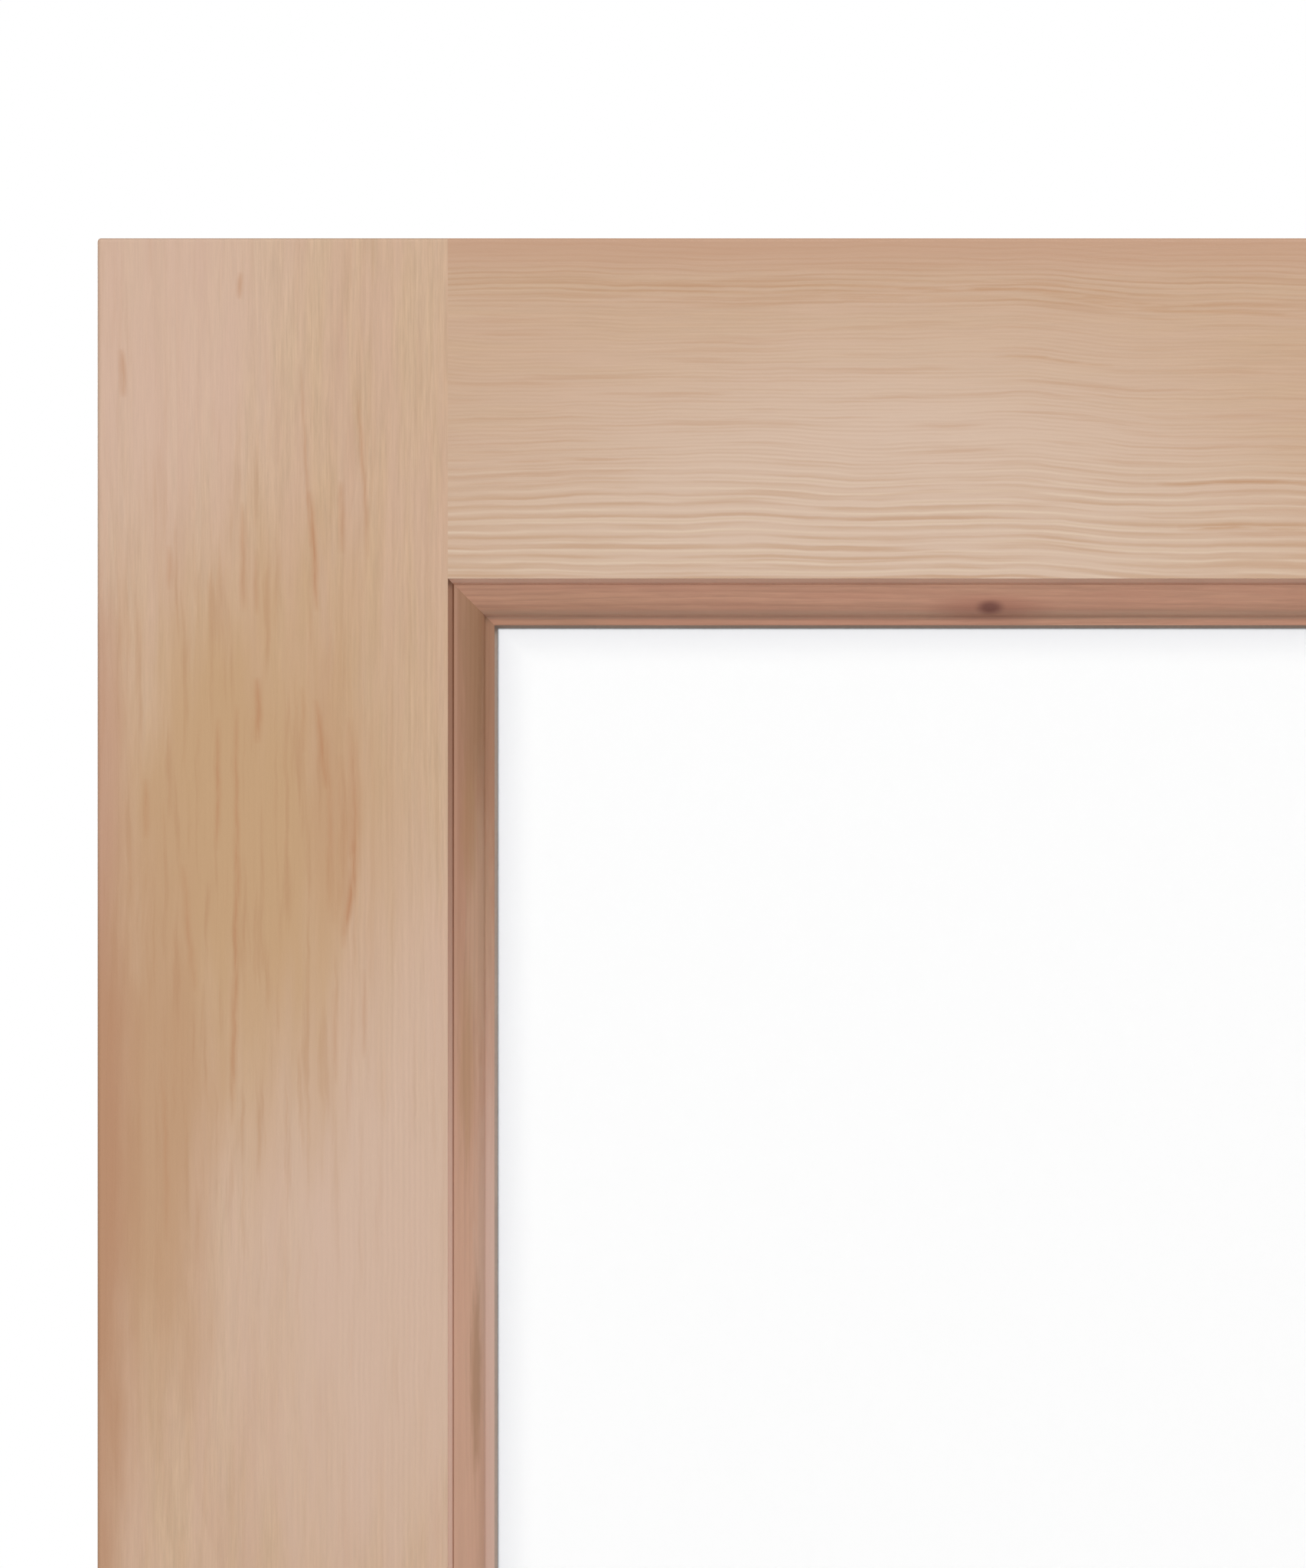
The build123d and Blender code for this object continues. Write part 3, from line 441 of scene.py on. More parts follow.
def top_rail_details(finish, base):
    across, down, inward = from_corner(finish)
    base = finish.mix(0.6, base, colour(203, 171, 145))
    lighten = patch(finish, across, down, 255.0, 92.0, 140.0, 66.0)
    base = finish.laid(base, lighten, 0.85, colour(216, 190, 170))
    wave = finish.sum("SUBTRACT", finish.drawn(across, down, (0.011, 0.02)), 0.5)
    small = finish.sum("SUBTRACT", finish.drawn(across, down, (0.06, 0.16), 3.0, 3.0), 0.5)
    level = finish.sum("MULTIPLY_ADD", wave, 7.0, down)
    level = finish.sum("MULTIPLY_ADD", small, 1.1, level)
    level = finish.sum("SUBTRACT", level, finish.rise(across, 298.0, 338.0, 0.0, 2.8))
    level = finish.sum("MULTIPLY_ADD", inward, 0.3, level)
    wide_line, close_line, fine_line = [finish.waves(level, gap) for gap in (3.3, 1.8, 1.3)]
    patchy = finish.rise(finish.drawn(across, level, (0.02, 0.3), 7.0), 0.3, 0.65, 0.2, 1.0)
    low_band = finish.sum("MULTIPLY", finish.rise(down, 62.0, 92.0), patchy)
    high_band = finish.sum("MULTIPLY", finish.rise(down, 30.0, 14.0), patchy)
    light_line = finish.sum("MULTIPLY", finish.rise(wide_line, -0.2, 1.0), low_band)
    dark_line = finish.sum("MULTIPLY", finish.rise(wide_line, 0.1, -1.0), low_band)
    base = finish.laid(base, light_line, 0.75, colour(222, 198, 174))
    base = finish.laid(base, dark_line, 0.52, colour(194, 157, 124))
    faint = finish.sum("MULTIPLY", finish.rise(fine_line, -1.0, 1.0), patchy)
    base = finish.laid(base, faint, 0.24, colour(189, 152, 122))
    dash = finish.drawn(across, level, (0.017, 0.5), 4.0, 3.0)
    base = finish.mix(finish.rise(dash, 0.5, 0.72, 0.0, 0.34), base, colour(188, 146, 114))
    high_line = finish.sum("MULTIPLY", finish.rise(close_line, 0.2, -1.0), high_band)
    base = finish.laid(base, high_line, 0.5, colour(184, 142, 108))
    base = finish.mix(finish.rise(down, 18.0, 0.0, 0.0, 0.85), base, colour(195, 155, 128))
    marks = streak_marks(finish, rail_streaks, across, level, 1.0, 0.8)
    broken = finish.rise(finish.drawn(across, down, (0.07, 0.8), 5.0), 0.3, 0.6, 0.25, 1.0)
    return finish.laid(base, marks, broken, colour(183, 134, 92))


def top_bead_details(finish, base):
    """Painted shade and light across the profile: painted light in the quirk, a painted lighter
    grey over the shade in the hollow, and a small dark knot with a red halo.
    """
    across, down = from_corner(finish)[:2]
    # Painted shade on the outer strip of the ovolo, painted light on its downward slope
    base = finish.shade(base, finish.rise(down, 114.5, 118.5, 0.93, 1.06))
    # Painted light in the quirk, lifting the shade of the groove
    quirk = finish.rise(down, 113.1, 112.3)
    base = finish.laid(base, quirk, 0.9, colour(242, 204, 184))
    # Painted lighter grey over the shade in the hollow above the step
    hollow_end = finish.rise(down, 124.4, 123.6)
    hollow_painted_light = finish.sum("MULTIPLY", finish.rise(down, 120.4, 122.4), hollow_end)
    base = finish.laid(base, hollow_painted_light, 0.32, colour(198, 172, 152))
    halo = patch(finish, across, down, 291.0, 121.0, 20.0, 5.0)
    base = finish.laid(base, halo, 0.45, colour(150, 92, 76))
    core = patch(finish, across, down, 291.3, 120.3, 4.6, 2.4)
    return finish.laid(base, core, 0.85, colour(112, 66, 58))


# Tones on the side beads: down, across, half length, half width, colour, strength
side_bead_tones = [
    (147, 122.4, 56, 4, colour(134, 100, 68), 0.4),
    (224, 124.5, 50, 5, colour(194, 166, 140), 0.32),
    (192, 121, 24, 2.6, colour(158, 118, 82), 0.5),
    (270, 120.3, 34, 2.6, colour(164, 126, 92), 0.55),
    (330, 126, 60, 4, colour(194, 164, 146), 0.45),
    (370, 123.4, 34, 1.9, colour(148, 110, 80), 0.6),
]


def side_bead_details(finish, base):
    """Darker and browner near the upper corner and paler further down, partly the wood's tone and
    partly painted shade of the corner; painted light beside the quirk and in it.
    """
    across, down = from_corner(finish)[:2]
    # Partly the wood's tone, partly painted shade of the upper corner: darker and browner above,
    # paler lower down
    base = finish.mix(finish.rise(down, 120.0, 330.0, 0.65, 0.0), base, colour(150, 112, 86))
    base = finish.mix(finish.rise(down, 160.0, 380.0, 0.0, 0.55), base, colour(204, 166, 144))
    # Painted light on the strip beside the quirk
    strip_end = finish.rise(across, 118.0, 116.8)
    strip_painted_light = finish.sum("MULTIPLY", finish.rise(across, 115.4, 116.2), strip_end)
    base = finish.laid(base, strip_painted_light, 0.22, colour(212, 168, 144))
    uneven = finish.drawn(down, across, (0.08, 0.9), 0.0, 3.0)
    uneven = finish.sum("MULTIPLY_ADD", uneven, 1.2, -0.6)
    base = lay_tones(finish, base, side_bead_tones, down, across, uneven)
    low_down = finish.rise(down, 200.0, 340.0)
    step = finish.sum("MULTIPLY", finish.rise(across, 125.6, 126.8), low_down)
    base = finish.laid(base, step, 0.55, colour(208, 180, 168))
    # Painted light in the quirk, browner near the corner and paler lower down
    painted_quirk_light_tints = tints((154, 114, 92), (213, 183, 168))
    painted_quirk_light = finish.mix(finish.rise(down, 120.0, 360.0), *painted_quirk_light_tints)
    return finish.laid(base, finish.rise(across, 116.6, 115.6), 0.8, painted_quirk_light)


# Each wood's screen colours, pale, warm, rosy and dark. The photograph has the first two woods.
fir_tints = tints((208, 178, 151), (203, 170, 138), (209, 173, 152), (182, 143, 110))
bead_tints = tints((186, 140, 116), (172, 128, 100), (182, 130, 108), (138, 94, 72))
oak_tints = tints((196, 164, 124), (186, 150, 110), (192, 156, 118), (140, 104, 70))
beech_tints = tints((214, 180, 142), (208, 170, 132), (212, 174, 140), (186, 146, 108))

pull_mm = pull_face / mm
edge_mm = latch_edge / mm
top_mm = leaf_top / mm


def fir(name, grain, heart, ring=2.6, figure=0.5, details=None):
    return wood(name, grain, heart, ring, fir_tints, figure, details)


def bead_wood(name, grain, heart, details=None):
    return wood(name, grain, heart, 1.9, bead_tints, 0.45, details, 0.45)


def brushed(name, tint, roughness):
    """Satin metal with fine upright brush lines."""
    finish = Finish(name, roughness, 1.0)
    body = finish.body()
    lines = finish.grain(body, (2.4, 2.4, 0.08))
    cloud = finish.grain(body, (0.08, 0.08, 0.08))
    base = finish.shade(tint, finish.rise(lines, 0.3, 0.7, 0.93, 1.04))
    base = finish.shade(base, finish.rise(cloud, 0.3, 0.7, 0.94, 1.03))
    finish.relief(lines, 0.02 * mm, 0.25)
    return finish.paint(base, finish.rise(lines, 0.3, 0.7, roughness - 0.05, roughness + 0.07))


def moulded(name, tint, roughness, grain=0.9, depth=0.03 * mm):
    """Plastic, foam or sealant with a fine even texture."""
    finish = Finish(name, roughness)
    body = finish.body()
    speck = finish.grain(body, (grain, grain, grain), 3.0)
    cloud = finish.grain(body, (0.05, 0.05, 0.05))
    base = finish.shade(tint, finish.rise(speck, 0.3, 0.7, 0.95, 1.05))
    base = finish.shade(base, finish.rise(cloud, 0.3, 0.7, 0.96, 1.03))
    finish.relief(speck, depth, 0.5)
    return finish.paint(base, finish.rise(speck, 0.3, 0.7, roughness - 0.05, roughness + 0.08))


def satin_glass(name):
    """Satin glass, smooth outside and etched towards the cavity, with painted shade greying it a
    little by the beads.
    """
    painted_shade_margin = 14 * mm
    finish = Finish(name, 0.4)
    x, y, z = finish.split(finish.place)
    etch = finish.grain(finish.body(), (3.0, 3.0, 3.0))
    inset = 1.0
    for along, low, high in ((y, sight_low[0], sight_high[0]), (z, sight_low[1], sight_high[1])):
        inset = finish.sum("MINIMUM", inset, finish.sum("SUBTRACT", along, low))
        inset = finish.sum("MINIMUM", inset, finish.sum("SUBTRACT", high, along))
    # Painted shade: the pane a little greyer within the margin by the beads
    base = finish.mix(finish.rise(inset, 0.0, painted_shade_margin), colour(248, 248, 249), white)
    finish.shader.inputs["Transmission Weight"].default_value = 1.0
    finish.shader.inputs["IOR"].default_value = 1.5
    finish.relief(etch, 0.01 * mm, 0.2)
    depth = finish.sum("ABSOLUTE", finish.sum("SUBTRACT", x, cavity_middle))
    outside = finish.rise(depth, 5 * mm, 7 * mm)
    etched = finish.rise(etch, 0.3, 0.7, 0.15, 0.21)
    rough = finish.sum("MULTIPLY", etched, finish.sum("SUBTRACT", 1.0, outside))
    return finish.paint(base, finish.sum("MULTIPLY_ADD", outside, 0.05, rough))


def perforated(name, tint):
    """Spacer bar of rolled aluminium, with two rows of pinholes for the drying beads inside."""
    hole_step, row_step = 3 * mm, 5 * mm
    finish = Finish(name, 0.35, 1.0)
    x, y, z = finish.split(finish.place)
    along = finish.sum("MULTIPLY", finish.sum("ADD", y, z), 1 / hole_step)
    along = finish.sum("SUBTRACT", finish.sum("FRACT", along), 0.5)
    depth = finish.sum("DIVIDE", finish.sum("SUBTRACT", x, pull_face), row_step)
    depth = finish.sum("SUBTRACT", finish.sum("FRACT", depth), 0.5)
    distance = finish.vector_sum("LENGTH", finish.join(along, depth, 0.0))
    # The pinholes painted dark, for the shade inside them
    hole = finish.rise(distance, 0.1, 0.16, 1.0, 0.0)
    finish.relief(finish.sum("SUBTRACT", 1.0, hole), 0.2 * mm, 0.6)
    return finish.paint(finish.mix(hole, tint, colour(60, 60, 62)))


def dress(material, *names):
    """Gives CAD nodes this finish all over."""
    for name in names:
        cover(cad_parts[name].data, material)


stile_heart = pull_mm - 70, edge_mm + 40
stile_fir = fir("latch stile fir", "upright", stile_heart, 2.6, 0.22, latch_stile_details)
dress(stile_fir, "latch_stile")
dress(fir("hinge stile fir", "upright", (pull_mm - 90, -20.0), 2.7), "hinge_stile")
rail_heart = pull_mm - 160, -top_mm + 80
rail_fir = fir("top rail fir", "along_leaf", rail_heart, 2.2, 0.22, top_rail_details)
dress(rail_fir, "top_rail")
dress(fir("bottom rail fir", "along_leaf", (pull_mm - 70, -160.0), 3.0, 0.6), "bottom_rail")
dress(
    bead_wood("top bead redwood", "along_leaf", (pull_mm - 50, -top_mm - 40), top_bead_details),
    "outer_top_bead",
    "inner_top_bead",
)
dress(
    bead_wood("bottom bead redwood", "along_leaf", (pull_mm - 60, -300.0)),
    "outer_bottom_bead",
    "inner_bottom_bead",
)
dress(
    bead_wood("side bead redwood", "upright", (pull_mm - 60, edge_mm + 200), side_bead_details),
    "outer_latch_side_bead",
    "inner_latch_side_bead",
    "outer_hinge_side_bead",
    "inner_hinge_side_bead",
)
dress(fir("jamb fir", "upright", (230.0, 150.0), 2.6), "hinge_jamb", "strike_jamb")
dress(fir("head jamb fir", "along_head", (-1900.0, 120.0), 2.6), "head_jamb")
dress(fir("stop fir", "upright", (360.0, -120.0), 2.4), "hinge_stop", "strike_stop")
dress(fir("head stop fir", "along_head", (-2150.0, -60.0), 2.4), "head_stop")
dress(wood("threshold oak", "along_head", (60.0, 90.0), 3.2, oak_tints), "threshold")
dowel_beech = wood("dowel beech", "along_leaf", (pull_mm, 0.0), 2.0, beech_tints, 0.4)
dress(dowel_beech, "rail_dowels")
dress(
    wood("handle redwood", "upright", (pull_mm - 80, edge_mm + 20), 2.2, bead_tints, 0.6),
    "outer_grip",
    "inner_grip",
)
dress(
    wood("plug redwood", "along_leaf", (pull_mm - 30, -1060.0), 1.6, bead_tints, 0.8),
    "bolt_plugs",
)
dress(
    wood("post redwood", "upright", (pull_mm - 40, edge_mm + 90), 2.2, bead_tints, 0.5),
    "outer_upper_post",
    "outer_lower_post",
    "inner_upper_post",
    "inner_lower_post",
)

hinge_nodes = [
    f"{level}_hinge_{piece}"
    for level in ("top", "middle", "bottom")
    for piece in ("jamb_plate", "leaf_plate", "pin")
]
dress(brushed("hinge satin steel", colour(196, 194, 190), 0.32), *hinge_nodes)
screw_steel = brushed("screw steel", colour(184, 183, 180), 0.3)
dress(
    screw_steel,
    "frame_screws",
    "hinge_jamb_screws",
    "hinge_leaf_screws",
    "strike_screws",
    "catch_screws",
    "handle_bolts",
)
dress(
    brushed("catch steel", colour(190, 189, 186), 0.34),
    "catch_case",
    "catch_faceplate",
    "plunger",
    "roller_axle",
    "strike_plate",
)
spring_steel = brushed("spring steel", colour(168, 168, 170), 0.25)
dress(spring_steel, "catch_spring")
insert_brass = brushed("insert brass", colour(206, 170, 104), 0.32)
dress(insert_brass, "handle_inserts")
dress(moulded("roller nylon", colour(228, 226, 218), 0.4, 2.5, 0.01 * mm), "roller")
dress(satin_glass("satin pane"), "outer_pane", "inner_pane")
dress(perforated("spacer aluminium", colour(198, 199, 201)), "spacer_bar")
dress(moulded("edge sealant", colour(46, 46, 48), 0.55), "edge_seal")
dress(
    moulded("glazing tape foam", colour(168, 152, 140), 0.8),
    "outer_glazing_tape",
    "inner_glazing_tape",
)
dress(moulded("block plastic", colour(64, 68, 74), 0.5), "setting_blocks")


class Shape(Nodes):
    """One Geometry Nodes tree that sets a turned piece at each point of a mesh.

    The points carry an attribute named axis, the direction from the head to the tip.
    """

    def __init__(self, name, sizes, **kinds):
        super().__init__(bpy.data.node_groups.new(name, "GeometryNodeTree"))
        self.tree.is_modifier = True
        kinds = {"Points": "Geometry", **{size: "Float" for size in sizes}, **kinds}
        self.inputs = self.named_inputs({**kinds, "Finish": "Material"})

    def switch(self, test, when_false, when_true, kind="FLOAT"):
        values = {0: test, 1: when_false, 2: when_true}
        return self.add("GeometryNodeSwitch", values, input_type=kind).outputs[0]

    def sheet(self, rows):
        """A flat sheet to be rolled up, with each point's row and share of a full turn."""
        values = {"Vertices X": rows, "Vertices Y": self.sum("ADD", self.inputs["Sides"], 1.0)}
        values.update({"Size X": 1.0, "Size Y": 1.0})
        mesh = self.add("GeometryNodeMeshGrid", values).outputs[0]
        x, y, z = self.split(self.add("GeometryNodeInputPosition").outputs[0])
        row = self.sum("MULTIPLY", self.sum("ADD", x, 0.5), self.sum("SUBTRACT", rows, 1.0))
        return mesh, self.sum("ROUND", row), self.sum("ADD", y, 0.5)

    def rolled(self, mesh, radius, depth, turn):
        """Rolls the sheet up round the axis and closes its seam and its ends."""
        angle = self.sum("MULTIPLY", turn, full_turn)
        x = self.sum("MULTIPLY", radius, self.sum("COSINE", angle))
        y = self.sum("MULTIPLY", radius, self.sum("SINE", angle))
        return self.moved(mesh, self.join(x, y, self.sum("MULTIPLY", depth, -1.0)))

    def moved(self, mesh, place):
        values = {"Geometry": mesh, "Position": place}
        return self.add("GeometryNodeSetPosition", values).outputs[0]

    def helix(self, depth, turn):
        """The depth of a row that runs down one pitch in a full turn, kept on the piece."""
        depth = self.sum("MULTIPLY_ADD", turn, self.inputs["Thread pitch"], depth)
        depth = self.sum("MAXIMUM", depth, 0.0)
        return self.sum("MINIMUM", depth, self.inputs["Length"])

    def merged(self, mesh):
        values = {"Geometry": mesh, "Distance": 0.01 * mm}
        return self.add("GeometryNodeMergeByDistance", values).outputs[0]

    def thread(self, depth, turn, height):
        """How far a point stands out on a thread of one start."""
        above_zero, flank = 8.0, 2.6
        phase = self.sum("DIVIDE", depth, self.inputs["Thread pitch"])
        phase = self.sum("ADD", self.sum("SUBTRACT", phase, turn), above_zero)
        ridge = self.sum("SUBTRACT", self.sum("FRACT", phase), 0.5)
        ridge = self.sum("ABSOLUTE", ridge)
        ridge = self.sum("MULTIPLY_ADD", ridge, -flank, 1.0, clamp=True)
        return self.sum("MULTIPLY", ridge, height)

    def set_out(self, mesh):
        """Smooths the faces between the sharp edges, and sets the piece at every point."""
        sharpest_smooth = math.radians(32)
        bend = self.add("GeometryNodeInputMeshEdgeAngle").outputs[0]
        sharp = self.sum("GREATER_THAN", bend, sharpest_smooth)
        values = {0: mesh, "Selection": sharp, "Shade Smooth": False}
        mesh = self.add("GeometryNodeSetShadeSmooth", values, domain="EDGE").outputs[0]
        kind = "GeometryNodeInputNamedAttribute"
        axis = self.add(kind, {"Name": "axis"}, data_type="FLOAT_VECTOR").outputs[0]
        up = self.scaled(axis, -1.0)
        turn = self.add("FunctionNodeAlignRotationToVector", {"Vector": up}, axis="Z").outputs[0]
        values = {"Points": self.inputs["Points"], "Instance": mesh, "Rotation": turn}
        pieces = self.add("GeometryNodeInstanceOnPoints", values).outputs[0]
        pieces = self.add("GeometryNodeRealizeInstances", {0: pieces}).outputs[0]
        values = {"Geometry": pieces, "Material": self.inputs["Finish"]}
        done = self.add("GeometryNodeSetMaterial", values).outputs[0]
        self.result("Geometry", "Geometry", done)
        return self.tree


def make_screw_tree():
    """A screw or bolt: head, smooth neck, thread, point, and a crossed or six-sided socket."""
    sizes = (
        "Head radius", "Head depth", "Under head radius", "Shank radius", "Length", "Neck length",
        "Thread pitch", "Thread height", "Point length", "Point radius",
        "Socket radius", "Socket width", "Socket depth",
    )
    shape = Shape("screw", sizes, Hexagon="Bool", Sides="Int", Rows="Int")
    inputs = shape.inputs
    rows = inputs["Rows"]
    mesh, row, turn = shape.sheet(rows)
    bevel = 0.15 * mm
    # The first three rows make the head's rim, edge and foot, and the last one closes the tip
    last = shape.sum("SUBTRACT", rows, 5.0)
    down = shape.sum("DIVIDE", shape.sum("SUBTRACT", row, 3.0), last, clamp=True)
    below = shape.sum("SUBTRACT", inputs["Length"], inputs["Head depth"])
    depth = shape.sum("MULTIPLY_ADD", down, below, inputs["Head depth"])
    depth = shape.switch(shape.sum("LESS_THAN", row, 1.5), depth, bevel)
    depth = shape.switch(shape.sum("LESS_THAN", row, 0.5), depth, 0.0)

    cut = shape.sum("SUBTRACT", depth, inputs["Neck length"])
    cut = shape.sum("DIVIDE", cut, inputs["Thread pitch"], clamp=True)
    height = inputs["Thread height"]
    proud = shape.sum("SUBTRACT", shape.thread(depth, turn, height), height)
    radius = shape.sum("MULTIPLY_ADD", cut, proud, inputs["Shank radius"])
    left = shape.sum("SUBTRACT", inputs["Length"], depth)
    left = shape.sum("DIVIDE", left, inputs["Point length"], clamp=True)
    taper = shape.sum("SUBTRACT", radius, inputs["Point radius"])
    radius = shape.sum("MULTIPLY_ADD", left, taper, inputs["Point radius"])
    rim = shape.sum("SUBTRACT", inputs["Head radius"], bevel)
    radius = shape.switch(shape.sum("LESS_THAN", row, 2.5), radius, inputs["Under head radius"])
    radius = shape.switch(shape.sum("LESS_THAN", row, 1.5), radius, inputs["Head radius"])
    radius = shape.switch(shape.sum("LESS_THAN", row, 0.5), radius, rim)
    end = shape.sum("GREATER_THAN", row, shape.sum("SUBTRACT", rows, 1.5))
    radius = shape.switch(end, radius, 0.0)
    skin = shape.rolled(mesh, radius, depth, turn)

    values = {"Vertices": inputs["Sides"], "Radius": rim}
    top = shape.add("GeometryNodeMeshCircle", values, fill_type="NGON").outputs[0]
    whole = shape.add("GeometryNodeJoinGeometry")
    shape.feed(whole.inputs[0], skin)
    shape.feed(whole.inputs[0], top)
    whole = shape.merged(whole.outputs[0])

    reach = shape.sum("MULTIPLY", inputs["Socket radius"], 2.0)
    tall = shape.sum("MULTIPLY", inputs["Socket depth"], 2.0)
    blades = []
    for across in ((reach, inputs["Socket width"]), (inputs["Socket width"], reach)):
        size = shape.join(*across, tall)
        blades.append(shape.add("GeometryNodeMeshCube", {"Size": size}).outputs[0])
    values = {"Vertices": 6, "Radius": inputs["Socket radius"], "Depth": tall}
    hexagon = shape.add("GeometryNodeMeshCylinder", values).outputs[0]
    first = shape.switch(inputs["Hexagon"], blades[0], hexagon, "GEOMETRY")
    second = shape.switch(inputs["Hexagon"], blades[1], hexagon, "GEOMETRY")
    for cutter, share in ((first, 1.0), (second, 0.95)):
        x, y, z = shape.split(shape.add("GeometryNodeInputPosition").outputs[0])
        foot = shape.sum("MULTIPLY", inputs["Socket depth"], -1.0)
        narrow = shape.rise(z, foot, 0.0, 0.72, 1.0, "LINEAR")
        narrow = shape.switch(inputs["Hexagon"], narrow, share)
        x = shape.sum("MULTIPLY", x, narrow)
        y = shape.sum("MULTIPLY", y, narrow)
        cutter = shape.moved(cutter, shape.join(x, y, shape.sum("MULTIPLY", z, share)))
        values = {0: whole, 1: cutter}
        whole = shape.add("GeometryNodeMeshBoolean", values, operation="DIFFERENCE").outputs[0]
    return shape.set_out(whole)


def make_dowel_tree():
    """A wooden dowel with rounded ends and straight glue flutes."""
    sizes = ("Radius", "Length", "Round", "Flute depth")
    shape = Shape("dowel", sizes, Flutes="Int", Sides="Int")
    inputs = shape.inputs
    rows = 8
    # The end rows close the dowel at its middle, and the rows beside them start the rounding
    mesh, row, turn = shape.sheet(rows)
    from_end = shape.sum("MINIMUM", row, shape.sum("SUBTRACT", rows - 1.0, row))
    depth = shape.rise(from_end, 1.0, 3.0, 0.0, inputs["Round"], "LINEAR")
    far = shape.sum("SUBTRACT", inputs["Length"], depth)
    depth = shape.switch(shape.sum("GREATER_THAN", row, 3.5), depth, far)
    angle = shape.sum("MULTIPLY", shape.sum("MULTIPLY", turn, inputs["Flutes"]), full_turn)
    flute = shape.rise(shape.sum("COSINE", angle), 0.0, 1.0, 0.0, inputs["Flute depth"])
    radius = shape.sum("SUBTRACT", inputs["Radius"], flute)
    inner = shape.rise(from_end, 1.0, 3.0, inputs["Round"], 0.0)
    radius = shape.sum("SUBTRACT", radius, inner)
    radius = shape.switch(shape.sum("LESS_THAN", from_end, 0.5), radius, 0.0)
    return shape.set_out(shape.merged(shape.rolled(mesh, radius, depth, turn)))


def make_insert_tree():
    """A brass insert: a coarse thread outside for the wood, a fine one inside for the bolt."""
    sizes = (
        "Radius", "Bore radius", "Length", "Thread pitch", "Thread height", "Bore thread height",
    )
    shape = Shape("insert", sizes, Sides="Int", Rows="Int")
    inputs = shape.inputs
    rows = inputs["Rows"]
    mesh, row, turn = shape.sheet(rows)
    # The rows run down the outside, come back up the bore, and end where they began
    half = shape.sum("DIVIDE", shape.sum("SUBTRACT", rows, 3.0), 2.0)
    outside = shape.sum("DIVIDE", row, half, clamp=True)
    back = shape.sum("SUBTRACT", shape.sum("SUBTRACT", rows, 2.0), row)
    inside = shape.sum("DIVIDE", back, half, clamp=True)
    run = shape.sum("ADD", inputs["Length"], inputs["Thread pitch"])
    depth = shape.sum("MULTIPLY", shape.sum("MINIMUM", outside, inside), run)
    depth = shape.helix(shape.sum("SUBTRACT", depth, inputs["Thread pitch"]), turn)
    height = inputs["Thread height"]
    proud = shape.sum("SUBTRACT", shape.thread(depth, turn, height), height)
    outer = shape.sum("ADD", inputs["Radius"], proud)
    fine = inputs["Bore thread height"]
    inner = shape.sum("SUBTRACT", fine, shape.thread(depth, turn, fine))
    inner = shape.sum("ADD", inputs["Bore radius"], inner)
    bore = shape.sum("GREATER_THAN", row, shape.sum("ADD", half, 0.5))
    radius = shape.switch(bore, outer, inner)
    last = shape.sum("GREATER_THAN", row, shape.sum("SUBTRACT", rows, 1.5))
    radius = shape.switch(last, radius, outer)
    depth = shape.switch(last, depth, 0.0)
    return shape.set_out(shape.merged(shape.rolled(mesh, radius, depth, turn)))


def make_coil_tree():
    """A plain coil spring."""
    sizes = ("Coil radius", "Wire radius", "Length", "Turns")
    shape = Shape("coil", sizes, Steps="Int", Sides="Int")
    inputs = shape.inputs
    wire = inputs["Wire radius"]
    values = {
        "Resolution": inputs["Steps"], "Rotations": inputs["Turns"],
        "Start Radius": inputs["Coil radius"], "End Radius": inputs["Coil radius"],
        "Height": shape.sum("SUBTRACT", inputs["Length"], shape.sum("MULTIPLY", wire, 2.0)),
    }
    path = shape.add("GeometryNodeCurveSpiral", values).outputs[0]
    values = {"Resolution": inputs["Sides"], "Radius": wire}
    section = shape.add("GeometryNodeCurvePrimitiveCircle", values).outputs[0]
    values = {"Curve": path, "Profile Curve": section, "Fill Caps": True}
    mesh = shape.add("GeometryNodeCurveToMesh", values).outputs[0]
    drop = shape.join(0.0, 0.0, shape.sum("SUBTRACT", wire, inputs["Length"]))
    values = {"Geometry": mesh, "Translation": drop}
    return shape.set_out(shape.merged(shape.add("GeometryNodeTransform", values).outputs[0]))


def solids_of(node):
    """The points of each separate solid of a CAD node, from a merged copy of its mesh."""
    mesh = bmesh.new()
    mesh.from_mesh(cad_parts[node].data)
    bmesh.ops.remove_doubles(mesh, verts=mesh.verts, dist=0.000002)
    left = set(mesh.verts)
    solids = []
    while left:
        found = [left.pop()]
        for vertex in found:
            for edge in vertex.link_edges:
                other = edge.other_vert(vertex)
                if other in left:
                    left.remove(other)
                    found.append(other)
        solids.append([vertex.co.copy() for vertex in found])
    mesh.free()
    return sorted(solids, key=lambda points: [round(part, 4) for part in points_middle(points)])


def points_middle(points):
    low = Vector([min(point[i] for point in points) for i in range(3)])
    high = Vector([max(point[i] for point in points) for i in range(3)])
    return (low + high) / 2


def head_and_axis(points):
    """Where a long turned solid starts, at its wider end, and which way it runs."""
    middle = points_middle(points)
    reach = [max(abs(point[i] - middle[i]) for point in points) for i in range(3)]
    along = reach.index(max(reach))
    axis = Vector([float(i == along) for i in range(3)])

    def width(side):
        end = [p for p in points if (p - middle).dot(axis) * side > 0.96 * reach[along]]
        return max((p - middle - axis * (p - middle).dot(axis)).length for p in end)

    side = 1.0 if width(1.0) > width(-1.0) else -1.0
    return middle + axis * side * reach[along], axis * -side


